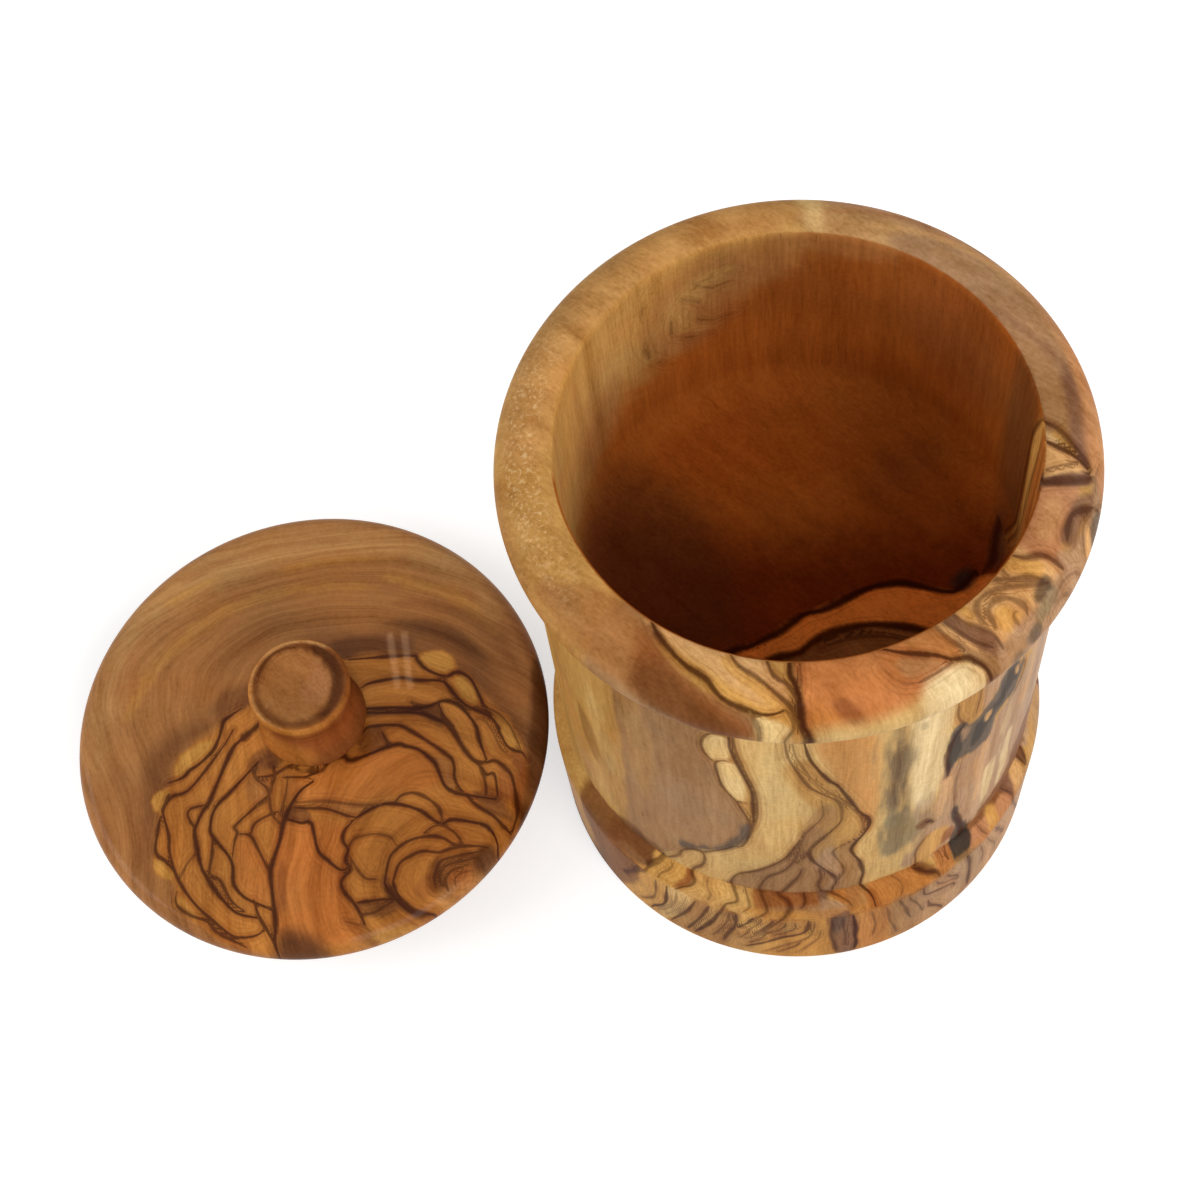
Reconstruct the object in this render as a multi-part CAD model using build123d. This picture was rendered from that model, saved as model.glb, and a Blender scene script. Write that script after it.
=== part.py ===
from build123d import *

import os
from math import acos, atan2, degrees, sqrt

# A turned olive-wood bowl with a loose lid, shown open: the lid lies flat on the table beside it.
# Millimetres, +Z up. The origin is the centre of the bowl's flat foot, on the table top.
# The lid lies on the -X side of the bowl, and the front, where both are seen from, is -Y.

# Outside of the bowl: a foot with a sharp upper edge, a straight waist and a rounded collar.
# The collar is the widest part, and the other radii are set back from it.
collar_radius = 53.0          # widest part of the collar
collar_round = 8.1            # radius of the collar's rounded section
collar_height = 127.5         # middle of that round above the table
cove_round = 3.0              # hollow between the waist and the collar
waist_setback = 3.9           # the straight waist, inside the collar
waist_height = 37.3           # bottom of the waist above the table
groove_depth = 0.6            # small groove around the bottom of the waist
groove_width = 0.9            # height of the groove's upper slope
shoulder_swell = 0.6          # how far the slope above the arris swells outside a straight line
arris_setback = 1.2           # sharp edge around the top of the foot's side, inside the collar
arris_height = 27.5           # that edge above the table
foot_setback = 1.6            # side of the foot just above the table, inside the collar
foot_edge_round = 1.6         # eased edge between the foot's side and its flat face

# Hollow of the bowl
collar_wall = 11.0            # wood between the collar's widest part and the hollow
floor_height = 85.0           # floor of the hollow above the table
floor_round = 7.0             # round between the wall and the floor
mouth_edge = 0.5              # small slope around the mouth

# Lid: a domed disc with a full round edge, over a round spigot that fills the bowl's mouth
lid_setback = 0.2             # the disc's widest part, inside the collar's
lid_edge_round = 4.0          # radius of the disc's edge
spigot_length = 8.0           # spigot below the disc
spigot_edge = 0.8             # slope around the bottom of the spigot
spigot_clearance = 0.6        # gap between the spigot and the wall of the hollow
dome_rise = 2.6               # middle of the dome above the top of the disc's edge

# Knob: a turned spool that stands on a small flat on the dome
knob_height = 18.7            # whole knob above the flat
knob_seat_radius = 11.3       # flat underside of the knob
knob_foot_radius = 11.9       # widest part of the knob's foot
knob_foot_height = 2.2        # that part above the flat
knob_neck_radius = 9.8        # narrowest part of the knob
knob_neck_height = 9.8        # that part above the flat
knob_cap_radius = 11.0        # widest part of the knob's cap
knob_cap_height = 17.5        # that part above the flat
knob_rim_radius = 10.5        # rim of the shallow dish in the knob's top
knob_dish_depth = 0.8         # depth of the dish
knob_shift = 1.4              # the knob stands this far from the lid's middle, towards the bowl
seat_margin = 0.5             # flat on the dome past the knob's underside

# Dowel: the wooden pin that holds the knob on the lid
dowel_radius = 3.0
dowel_in_lid = 8.0            # length in the lid
dowel_in_knob = 8.5           # length in the knob
dowel_clearance = 0.05        # glue gap around the dowel
dowel_relief = 0.5            # spare depth at each end of the dowel
dowel_edge = 0.4              # slope around each end of the dowel

# Where the lid lies: lifted straight up, its edge passes the collar with this gap
lift_clearance = 1.2

os.makedirs("parts", exist_ok=True)


def bend(middle, radius, start, end):
    """An arc about a middle point, from one direction to another in degrees."""
    return CenterArc(middle, radius, start, end - start)


def turned(outline):
    """The solid that a closed half section makes, turned about the Z axis."""
    return revolve(Plane.XZ * make_face(outline), Axis.Z)


def dowel_hole(depth):
    """The blind hole for one end of the dowel, from Z = 0 down to its depth."""
    hole = Cylinder(dowel_radius + dowel_clearance, depth + dowel_relief)
    return Pos(0, 0, -(depth + dowel_relief) / 2) * hole


# Radii that follow from the collar's
waist_radius = collar_radius - waist_setback
arris_radius = collar_radius - arris_setback
foot_radius = collar_radius - foot_setback
bore_radius = collar_radius - collar_wall
lid_radius = collar_radius - lid_setback
spigot_radius = bore_radius - spigot_clearance

# Where the lid and its knob stand
lid_x = -(collar_radius + lift_clearance + lid_radius)
knob_x = lid_x + knob_shift

# The dome is part of a sphere that runs smoothly into the disc's round edge
edge_middle = (lid_radius - lid_edge_round, spigot_length + lid_edge_round)
dome_top = spigot_length + 2 * lid_edge_round + dome_rise
dome_span = lid_edge_round + dome_rise
dome_radius = (edge_middle[0] ** 2 + dome_span**2 - lid_edge_round**2) / (2 * dome_rise)
dome_middle = (0, dome_top - dome_radius)
flat_radius = knob_seat_radius + knob_shift + seat_margin
seat_height = dome_middle[1] + sqrt(dome_radius**2 - flat_radius**2)


def pot_body():
    """The bowl, turned from one block, with its hollow open at the top."""
    foot_flat = (foot_radius - foot_edge_round, 0)
    foot_side = (foot_radius, foot_edge_round)
    arris = (arris_radius, arris_height)
    groove = (waist_radius - groove_depth, waist_height - groove_width)
    waist_end = (waist_radius, waist_height)

    # The collar's round and the cove under it touch where a line joins their middles
    collar_middle = (collar_radius - collar_round, collar_height)
    cove_x = waist_radius + cove_round
    cove_drop = sqrt((collar_round + cove_round) ** 2 - (cove_x - collar_middle[0]) ** 2)
    cove_middle = (cove_x, collar_height - cove_drop)
    cove_angle = degrees(atan2(cove_drop, collar_middle[0] - cove_x))

    # The collar's round ends in a small slope into the mouth
    mouth_x = bore_radius + mouth_edge
    mouth_angle = degrees(acos((mouth_x - collar_middle[0]) / collar_round))
    mouth_z = collar_height + sqrt(collar_round**2 - (mouth_x - collar_middle[0]) ** 2)
    wall_top = (bore_radius, mouth_z - mouth_edge)
    wall_end = (bore_radius, floor_height + floor_round)
    round_middle = (bore_radius - floor_round, floor_height + floor_round)
    floor_edge = (bore_radius - floor_round, floor_height)

    outline = Line((0, 0), foot_flat)
    outline += bend((foot_flat[0], foot_edge_round), foot_edge_round, -90, 0)
    outline += Line(foot_side, arris)
    outline += SagittaArc(groove, arris, shoulder_swell)
    outline += Line(groove, waist_end)
    outline += Line(waist_end, (waist_radius, cove_middle[1]))
    outline += bend(cove_middle, cove_round, 180, cove_angle)
    outline += bend(collar_middle, collar_round, cove_angle - 180, mouth_angle)
    outline += Line((mouth_x, mouth_z), wall_top)
    outline += Line(wall_top, wall_end)
    outline += bend(round_middle, floor_round, 0, -90)
    outline += Line(floor_edge, (0, floor_height))
    outline += Line((0, floor_height), (0, 0))
    return turned(outline)


def lid():
    """The lid: disc, dome and spigot in one turned piece, with the dowel's hole in its middle."""
    edge_angle = degrees(atan2(edge_middle[1] - dome_middle[1], edge_middle[0]))
    flat_angle = degrees(acos(flat_radius / dome_radius))

    outline = Line((0, 0), (spigot_radius - spigot_edge, 0))
    outline += Line((spigot_radius - spigot_edge, 0), (spigot_radius, spigot_edge))
    outline += Line((spigot_radius, spigot_edge), (spigot_radius, spigot_length))
    outline += Line((spigot_radius, spigot_length), (edge_middle[0], spigot_length))
    outline += bend(edge_middle, lid_edge_round, -90, edge_angle)
    outline += bend(dome_middle, dome_radius, edge_angle, flat_angle)
    outline += Line((flat_radius, seat_height), (0, seat_height))
    outline += Line((0, seat_height), (0, 0))
    hole = Pos(knob_shift, 0, seat_height) * dowel_hole(dowel_in_lid)
    return Pos(lid_x, 0, 0) * (turned(outline) - hole)


def lid_knob():
    """The knob: a flared foot, a narrow neck and a cap with a shallow dish in its top."""
    foot = (knob_foot_radius, knob_foot_height)
    neck = (knob_neck_radius, knob_neck_height)
    cap = (knob_cap_radius, knob_cap_height)
    rim = (knob_rim_radius, knob_height)
    dish = (0, knob_height - knob_dish_depth)

    outline = Line((0, 0), (knob_seat_radius, 0))
    outline += TangentArc(foot, (knob_seat_radius, 0), tangent=(0, -1))
    outline += Spline(foot, neck, cap, tangents=[(0, 1), (0, 1)])
    outline += TangentArc(cap, rim, tangent=(0, 1))
    outline += TangentArc(dish, rim, tangent=(1, 0))
    outline += Line(dish, (0, 0))
    hole = Rot(180, 0, 0) * dowel_hole(dowel_in_knob)
    return Pos(knob_x, 0, seat_height) * (turned(outline) - hole)


def knob_dowel():
    """The dowel, half in the lid and half in the knob."""
    length = dowel_in_lid + dowel_in_knob
    pin = Cylinder(dowel_radius, length)
    pin = chamfer(pin.edges().filter_by(GeomType.CIRCLE), dowel_edge)
    return Pos(knob_x, 0, seat_height + (dowel_in_knob - dowel_in_lid) / 2) * pin


export_step(pot_body(), "parts/pot_body.step")
export_step(lid(), "parts/lid.step")
export_step(lid_knob(), "parts/lid_knob.step")
export_step(knob_dowel(), "parts/knob_dowel.step")
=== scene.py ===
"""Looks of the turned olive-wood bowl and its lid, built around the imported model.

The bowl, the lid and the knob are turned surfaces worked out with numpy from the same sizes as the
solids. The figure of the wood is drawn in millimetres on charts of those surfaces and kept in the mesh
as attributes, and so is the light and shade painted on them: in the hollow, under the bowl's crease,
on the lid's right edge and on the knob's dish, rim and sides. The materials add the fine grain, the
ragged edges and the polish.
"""

import logging
import math
import re
from dataclasses import dataclass, field
from enum import Enum

import bpy
import numpy as np
from mathutils import Matrix


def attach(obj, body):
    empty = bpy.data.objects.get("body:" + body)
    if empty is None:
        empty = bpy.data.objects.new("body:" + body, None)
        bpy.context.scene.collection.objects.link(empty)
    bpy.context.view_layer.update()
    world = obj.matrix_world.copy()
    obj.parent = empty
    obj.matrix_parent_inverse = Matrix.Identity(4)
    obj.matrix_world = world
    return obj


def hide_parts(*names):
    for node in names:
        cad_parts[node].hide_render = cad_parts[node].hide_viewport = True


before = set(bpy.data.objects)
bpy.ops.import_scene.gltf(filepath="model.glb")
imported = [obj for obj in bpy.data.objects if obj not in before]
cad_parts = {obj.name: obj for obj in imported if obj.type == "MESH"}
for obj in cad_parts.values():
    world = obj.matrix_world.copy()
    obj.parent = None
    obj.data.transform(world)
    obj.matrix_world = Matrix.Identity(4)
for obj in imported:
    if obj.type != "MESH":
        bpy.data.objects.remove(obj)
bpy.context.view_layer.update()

LOG = logging.getLogger("lidded_bowl")
MM = 0.001
SKIN = 0.015  # the dressed surfaces lie this far inside the solids', mm
FAR = 20.0  # a place by a vein that is too far to matter, in half widths of the vein

Path = str | np.ndarray  # points as "x,y x,y ..." or one per row
Colour = tuple[int, int, int]
Place = tuple[float, float, float]


class Waves:
    """Waves of noise per metre in each effect of the wood."""

    RAGGED, PATCHY, DRIFT, TORN = 1300.0, 130.0, 70.0, 1250.0
    STREAK, FIBRE, PORE, THICK, BLOTCH, MOTTLE = 260.0, 2300.0, 3600.0, 210.0, 62.0, 1100.0
    BEND = 28.0


class Tone(Enum):
    """Colours of the oiled wood, and of the light and shade painted on it, as 8-bit sRGB."""

    GOLD = (198, 158, 98)
    PALE = (214, 178, 118)
    CREAM = (214, 184, 134)
    TAN = (182, 135, 73)
    HONEY = (176, 111, 47)
    ORANGE = (180, 110, 50)
    SALMON = (182, 112, 60)
    STRAW = (200, 146, 74)
    MAUVE = (153, 112, 72)
    LILAC = (170, 132, 98)
    BROWN = (160, 106, 58)
    UMBER = (114, 68, 34)
    RUSSET = (138, 76, 36)
    CHOCOLATE = (80, 44, 24)
    STAIN = (126, 108, 78)
    SLATE = (92, 78, 66)
    SOOT = (52, 44, 38)
    WALL = (146, 78, 28)
    FLOOR = (122, 52, 16)
    AMBER = (186, 121, 54)
    RUST = (184, 108, 48)
    PEARL = (196, 142, 66)
    FLESH = (204, 154, 98)
    OLIVE = (184, 138, 74)
    EMBER = (176, 96, 34)
    COPPER = (248, 146, 62)
    PLUM = (122, 84, 62)
    ROSE = (180, 122, 80)


def linear(colour: Colour) -> np.ndarray:
    """Turns an 8-bit sRGB colour into linear light.

    Args:
        colour: red, green and blue from 0 to 255.

    Returns:
        The three channels from 0 to 1.
    """
    c = np.asarray(colour, float) / 255
    return np.where(c <= 0.04045, c / 12.92, ((c + 0.055) / 1.055) ** 2.4)


@dataclass(frozen=True)
class Vein:
    """A dark line, a vein of the figure and on the knob also a line of painted shade: its path on the chart, half its
    width in mm and its darkness.
    """

    path: Path
    half: float = 0.4
    dark: float = 0.85


@dataclass(frozen=True)
class Patch:
    """An area of another tone: its outline on the chart, its edge's softness, its cover and its teeth."""

    path: Path
    tone: Tone
    soft: float = 0.8
    cover: float = 1.0
    teeth: float = 0.25


def points_of(path: Path) -> np.ndarray:
    """The points of a path, one per row."""
    return np.array([pair.split(",") for pair in path.split()], float) if isinstance(path, str) else path


def entries(table: str) -> list[tuple[list[str], str]]:
    """Splits a table into its entries.

    An entry starts at the start of a line with its settings, then a colon and its points, and
    indented lines carry it on. Lines that start with # are notes.

    Args:
        table: the table's text.

    Returns:
        The settings and the points of each entry.
    """
    kept = "\n".join(line for line in table.strip().split("\n") if not line.startswith("#"))
    pairs = (entry.split(":") for entry in re.split(r"\n(?=\S)", kept))
    return [(settings.split(), path) for settings, path in pairs]


def read_patches(table: str) -> tuple[Patch, ...]:
    """Patches from a table: the tone, then the softness, cover and teeth where they aren't the usual ones."""
    return tuple(Patch(path, Tone[head[0].upper()], *map(float, head[1:])) for head, path in entries(table))


def read_veins(table: str) -> tuple[Vein, ...]:
    """Veins from a table: half the width and the darkness, where they aren't the usual ones."""
    return tuple(Vein(path, *map(float, head)) for head, path in entries(table))


def smooth_path(path: np.ndarray, step: float, loop: bool = False) -> np.ndarray:
    """Rounds a path with Catmull-Rom curves through its points.

    Each run between two points is the cubic whose slope at a point is half the way from the point
    before to the point after.

    Args:
        path: the points, one per row.
        step: spacing of the new points.
        loop: whether the path closes on itself.

    Returns:
        The new points, one per row.
    """
    if len(path) < 3:
        return path
    ends = (path[-1:], path[:2]) if loop else (2 * path[:1] - path[1:2], 2 * path[-1:] - path[-2:-1])
    p = np.concatenate([ends[0], path, ends[1]])
    runs = len(path) if loop else len(path) - 1
    out = []
    for i in range(runs):
        a, b, c, d = p[i : i + 4]
        n = max(2, int(np.linalg.norm(c - b) / step))
        t = (np.arange(n) / n)[:, None]
        out.append(0.5 * (2 * b + (c - a) * t + (2 * a - 5 * b + 4 * c - d) * t**2 + (3 * b - a - 3 * c + d) * t**3))
    out.append(path[:1] if loop else path[-1:])
    return np.concatenate(out)


def nearest_on_path(points: np.ndarray, path: np.ndarray) -> tuple[np.ndarray, np.ndarray]:
    """Finds the nearest place of a path to each point.

    Each point is dropped square onto every run of the path, kept between the run's ends, and the
    shortest drop wins.

    Args:
        points: points on the chart, one per row.
        path: the path's points, one per row.

    Returns:
        The offsets from the points to those places, and how far along the path they lie, 0 to 1.
    """
    a, ab = path[:-1], np.diff(path, axis=0)
    span = np.maximum((ab**2).sum(1), 1e-12)
    offsets = np.empty_like(points)
    along = np.empty(len(points))
    batch = 4096  # points at a time, to spare memory
    for lo in range(0, len(points), batch):
        q = points[lo : lo + batch, None, :] - a[None]
        t = np.clip((q * ab[None]).sum(2) / span, 0, 1)
        drop = t[..., None] * ab[None] - q
        best = (drop**2).sum(2).argmin(1)
        row = np.arange(len(best))
        offsets[lo : lo + batch] = drop[row, best]
        along[lo : lo + batch] = (best + t[row, best]) / len(ab)
    return offsets, along


def inside_loop(points: np.ndarray, loop: np.ndarray) -> np.ndarray:
    """Says which points a closed path holds, by counting how often a ray to the right crosses it.

    Args:
        points: points on the chart, one per row.
        loop: the closed path, its last point the same as its first.

    Returns:
        True for each point that lies inside.
    """
    x, y = points[:, :1], points[:, 1:]
    x0, y0, x1, y1 = loop[:-1, 0], loop[:-1, 1], loop[1:, 0], loop[1:, 1]
    crosses = ((y0 > y) != (y1 > y)) & (x < x0 + (y - y0) * (x1 - x0) / np.where(y1 == y0, 1e-9, y1 - y0))
    return crosses.sum(1) % 2 == 1


class Canvas:
    """The figure of one chart, and any light and shade painted on it: for each vertex its tone and its place by the
    nearest vein.
    """

    REACH = 9.0  # a vein matters this far from its middle, mm
    EDGE_STEP, LINE_STEP = 0.6, 0.5  # spacing of the points on a patch's edge and on a vein, mm
    GRID, SEED, LAYERS, LAYER_SHIFT, LAYER_SUM = 256, 7, 3, 37.3, 1.4  # of the noise that tears the edges
    SWING, KNOT_WAVES = 0.22, 2.3  # how a vein's width swings along it
    TIP, TIP_RUN = 0.35, 6  # it narrows to this share of its width over the last sixth at each end

    def __init__(self, chart: np.ndarray, scale: tuple[float, float], tone: Tone, mesh_step: float,
                 weave: tuple[float, float] = (1.6, 1.6)) -> None:
        """Lays out an empty chart.

        Args:
            chart: chart coordinates of the vertices, one row each.
            scale: millimetres per chart unit in each direction.
            tone: the tone of the bare chart.
            mesh_step: usual spacing of the vertices in mm.
            weave: spacing of the tears in the patches' edges in each direction, in mm.
        """
        self.scale = np.asarray(scale)
        self.points = chart * self.scale
        self.tear = self.torn(self.points / weave)
        self.mesh_step = mesh_step
        count = len(chart)
        self.tone = np.tile(linear(tone.value), (count, 1))
        self.offset = np.full((count, 2), FAR)
        self.gap = np.full(count, FAR)
        self.reach = np.full(count, self.REACH)
        self.dark = np.zeros(count)
        self.fleck = np.zeros(count)

    @staticmethod
    def torn(places: np.ndarray) -> np.ndarray:
        """Gives uneven values from about -1 to 1 that tear the patches' edges.

        Random numbers stand on a square grid and are blended between its points with eased weights.
        Three such layers are added, each twice as fine and half as strong as the one before.

        Args:
            places: points in units of the coarsest grid, one per row.

        Returns:
            A value for each point.
        """
        size = Canvas.GRID
        grid = np.random.default_rng(Canvas.SEED).uniform(-1, 1, (size, size))
        total = np.zeros(len(places))
        for layer in range(Canvas.LAYERS):
            where = places * 2**layer + Canvas.LAYER_SHIFT * layer
            cell = np.floor(where).astype(int)
            t = where - cell
            t = t * t * (3 - 2 * t)
            i, j = cell.T % size
            k, m = (i + 1) % size, (j + 1) % size
            low = grid[i, j] * (1 - t[:, 0]) + grid[k, j] * t[:, 0]
            high = grid[i, m] * (1 - t[:, 0]) + grid[k, m] * t[:, 0]
            total += (low * (1 - t[:, 1]) + high * t[:, 1]) / 2**layer
        return total / Canvas.LAYER_SUM

    def near(self, path: np.ndarray, margin: float) -> np.ndarray:
        """Indices of the vertices within a margin of a path's box."""
        lo, hi = path.min(0) - margin, path.max(0) + margin
        return np.flatnonzero(((self.points > lo) & (self.points < hi)).all(1))

    def wash(self, patch: Patch) -> None:
        """Lays a patch over the tone: full inside its outline, fading to nothing across its soft edge."""
        loop = smooth_path(points_of(patch.path) * self.scale, self.EDGE_STEP, loop=True)
        at = self.near(loop, patch.soft + patch.teeth)
        if not len(at):
            return
        offset, _ = nearest_on_path(self.points[at], loop)
        depth = np.linalg.norm(offset, axis=1) * np.where(inside_loop(self.points[at], loop), 1, -1)
        depth += patch.teeth * self.tear[at]
        share = np.clip(depth / (2 * patch.soft) + 0.5, 0, 1)
        share = (share * share * (3 - 2 * share) * patch.cover)[:, None]
        self.tone[at] = self.tone[at] * (1 - share) + linear(patch.tone.value) * share

    def draw(self, vein: Vein) -> None:
        """Draws a vein where it is nearer, in its own widths, than the veins before it."""
        knots = points_of(vein.path)
        path = smooth_path(knots * self.scale, self.LINE_STEP)
        at = self.near(path, self.REACH)
        if not len(at):
            return
        offset, along = nearest_on_path(self.points[at], path)
        distance = np.linalg.norm(offset, axis=1)
        swing = 1 + self.SWING * np.sin(along * len(knots) * self.KNOT_WAVES + knots[0, 0])
        ends = np.clip(self.TIP_RUN * np.minimum(along, 1 - along), 0, 1)
        half = vein.half * swing * (self.TIP + (1 - self.TIP) * ends)
        gap = distance / half
        wins = gap < self.gap[at]
        won = at[wins]
        self.offset[won] = (offset / half[:, None])[wins]
        self.gap[won] = gap[wins]
        self.dark[won] = vein.dark
        self.reach[at] = np.minimum(self.reach[at], distance)

    def paint(self, patches: tuple[Patch, ...], veins: tuple[Vein, ...]) -> None:
        """Lays all patches, then draws all veins."""
        for patch in patches:
            self.wash(patch)
        for vein in veins:
            self.draw(vein)


@dataclass
class Rows:
    """The rows of a turned surface: radius, height and sideways shift in mm, and zone."""

    r: list[float] = field(default_factory=list)
    z: list[float] = field(default_factory=list)
    shift: list[float] = field(default_factory=list)
    zone: list[int] = field(default_factory=list)

    def run(self, r: np.ndarray, z: np.ndarray, zone: int = 0, shift: float | np.ndarray = 0.0) -> None:
        """Adds a row for each radius and height."""
        self.r += list(np.asarray(r, float))
        self.z += list(np.asarray(z, float))
        self.shift += list(np.broadcast_to(shift, np.shape(r)).astype(float))
        self.zone += [zone] * len(r)

    def line(self, start: tuple[float, float], end: tuple[float, float], step: float, zone: int = 0,
             shift: tuple[float, float] = (0.0, 0.0)) -> None:
        """Adds rows along a straight run, with its end left for the next run."""
        n = max(1, round(math.dist(start, end) / step))
        t = np.arange(n) / n
        self.run(start[0] + (end[0] - start[0]) * t, start[1] + (end[1] - start[1]) * t, zone,
                 shift[0] + (shift[1] - shift[0]) * t)

    def arc(self, middle: tuple[float, float], radius: float, start: float, end: float, step: float,
            zone: int = 0) -> None:
        """Adds rows along an arc between two directions in degrees, with its end left out."""
        n = max(2, round(abs(math.radians(end - start)) * radius / step))
        a = np.radians(start + (end - start) * np.arange(n) / n)
        self.run(middle[0] + radius * np.cos(a), middle[1] + radius * np.sin(a), zone)


@dataclass
class Shell:
    """A turned surface: all its vertices with the angle and row of each, and its faces."""

    points: np.ndarray
    angle: np.ndarray
    row: np.ndarray
    faces: list[tuple[int, ...]]


def turn(rows: Rows, angles: np.ndarray, coarse: tuple[range, ...] = ()) -> Shell:
    """Turns rows about the Z axis into a closed surface.

    A vertex stands at (shift + r cos a, r sin a, z). Rows of radius 0 are single points, closed with
    triangles. Coarse rows use every second angle, and faces of five corners join them to fine rows.

    Args:
        rows: the outline from the middle of the top, over the outside, to the middle of the bottom.
        angles: the angles of a fine row, in degrees, an even number of them.
        coarse: ranges of rows that use every second angle.

    Returns:
        The surface, facing outwards.
    """
    everywhere = np.arange(len(angles))
    columns, starts, total = [], [], 0
    for i, r in enumerate(rows.r):
        used = everywhere[::2] if any(i in c for c in coarse) else everywhere
        used = used[:1] if r == 0 else used
        columns.append(used)
        starts.append(total)
        total += len(used)
    row = np.concatenate([np.full(len(c), i) for i, c in enumerate(columns)])
    angle = angles[np.concatenate(columns)]
    r, z, shift = (np.asarray(v)[row] for v in (rows.r, rows.z, rows.shift))
    a = np.radians(angle)
    points = np.stack([shift + r * np.cos(a), r * np.sin(a), z], 1)
    faces: list[tuple[int, ...]] = []
    for i in range(len(columns) - 1):
        n, m = len(columns[i]), len(columns[i + 1])
        j, k = starts[i], starts[i + 1]
        u = np.arange(max(n, m) if min(n, m) == 1 or n == m else min(n, m))
        v = np.roll(u, -1)
        if n == 1:
            quad = np.stack([np.full(len(u), j), k + u, k + v], 1)
        elif m == 1:
            quad = np.stack([j + u, np.full(len(u), k), j + v], 1)
        elif n == m:
            quad = np.stack([j + u, k + u, k + v, j + v], 1)
        elif n < m:
            quad = np.stack([j + u, k + 2 * u, k + 2 * u + 1, k + 2 * v, j + v], 1)
        else:
            quad = np.stack([j + 2 * u, k + u, k + v, j + 2 * v, j + 2 * u + 1], 1)
        faces += [tuple(q) for q in quad.tolist()]
    return Shell(points, angle, row, faces)


def make_piece(name: str, shell: Shell, place: Place, canvas: Canvas) -> bpy.types.Object:
    """Makes a Blender object of a turned surface and stores its figure, painted light and shade included, in
    attributes.

    Args:
        name: the object's name.
        shell: the surface in mm about its own axis.
        place: where that axis stands, in mm.
        canvas: the figure of all its vertices, painted light and shade included.

    Returns:
        The object, at the origin, with its place in its mesh.
    """
    spacing_share, least_reach, most_slack = 0.6, 0.05, 2.0
    mesh = bpy.data.meshes.new(name)
    mesh.from_pydata(((shell.points + np.asarray(place)) * MM).tolist(), [], shell.faces)
    mesh.polygons.foreach_set("use_smooth", np.ones(len(mesh.polygons), bool))
    count = len(shell.points)
    # The gap is taken a little nearer than at the vertex, as the line may pass between vertices
    slack = spacing_share * canvas.mesh_step * canvas.gap / np.maximum(canvas.reach, least_reach)
    gap = np.maximum(canvas.gap - np.minimum(slack, most_slack), 0)
    tone = mesh.attributes.new("tone", "FLOAT_COLOR", "POINT")
    tone.data.foreach_set("color", np.c_[canvas.tone, np.ones(count)].astype(np.float32).ravel())
    vein = mesh.attributes.new("vein", "FLOAT_VECTOR", "POINT")
    offset = np.clip(canvas.offset, -FAR, FAR)
    vein.data.foreach_set("vector", np.c_[offset, canvas.dark].astype(np.float32).ravel())
    near = mesh.attributes.new("near", "FLOAT_VECTOR", "POINT")
    values = np.c_[np.minimum(gap, FAR), canvas.reach, canvas.fleck]
    near.data.foreach_set("vector", values.astype(np.float32).ravel())
    mesh.update()
    piece = bpy.data.objects.new(name, mesh)
    bpy.context.scene.collection.objects.link(piece)
    return piece


# ---------------------------------------------------------------------------------------------
# Node groups and finishes

VEIN_MASKS = ("Line", "Halo", "Echo", "Fleck")
GRAIN_VALUES = ("Streak", "Fibre", "Pore", "Blotch", "Mottle")
BESIDE_VEIN, VEIN, PORE, FLECK = (160, 92, 44), (58, 22, 6), (84, 46, 22), (232, 194, 140)  # 8-bit sRGB
ECHO_LIGHT = (0.42, 0.3, 0.22)  # share of the light that an echo line leaves


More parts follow.
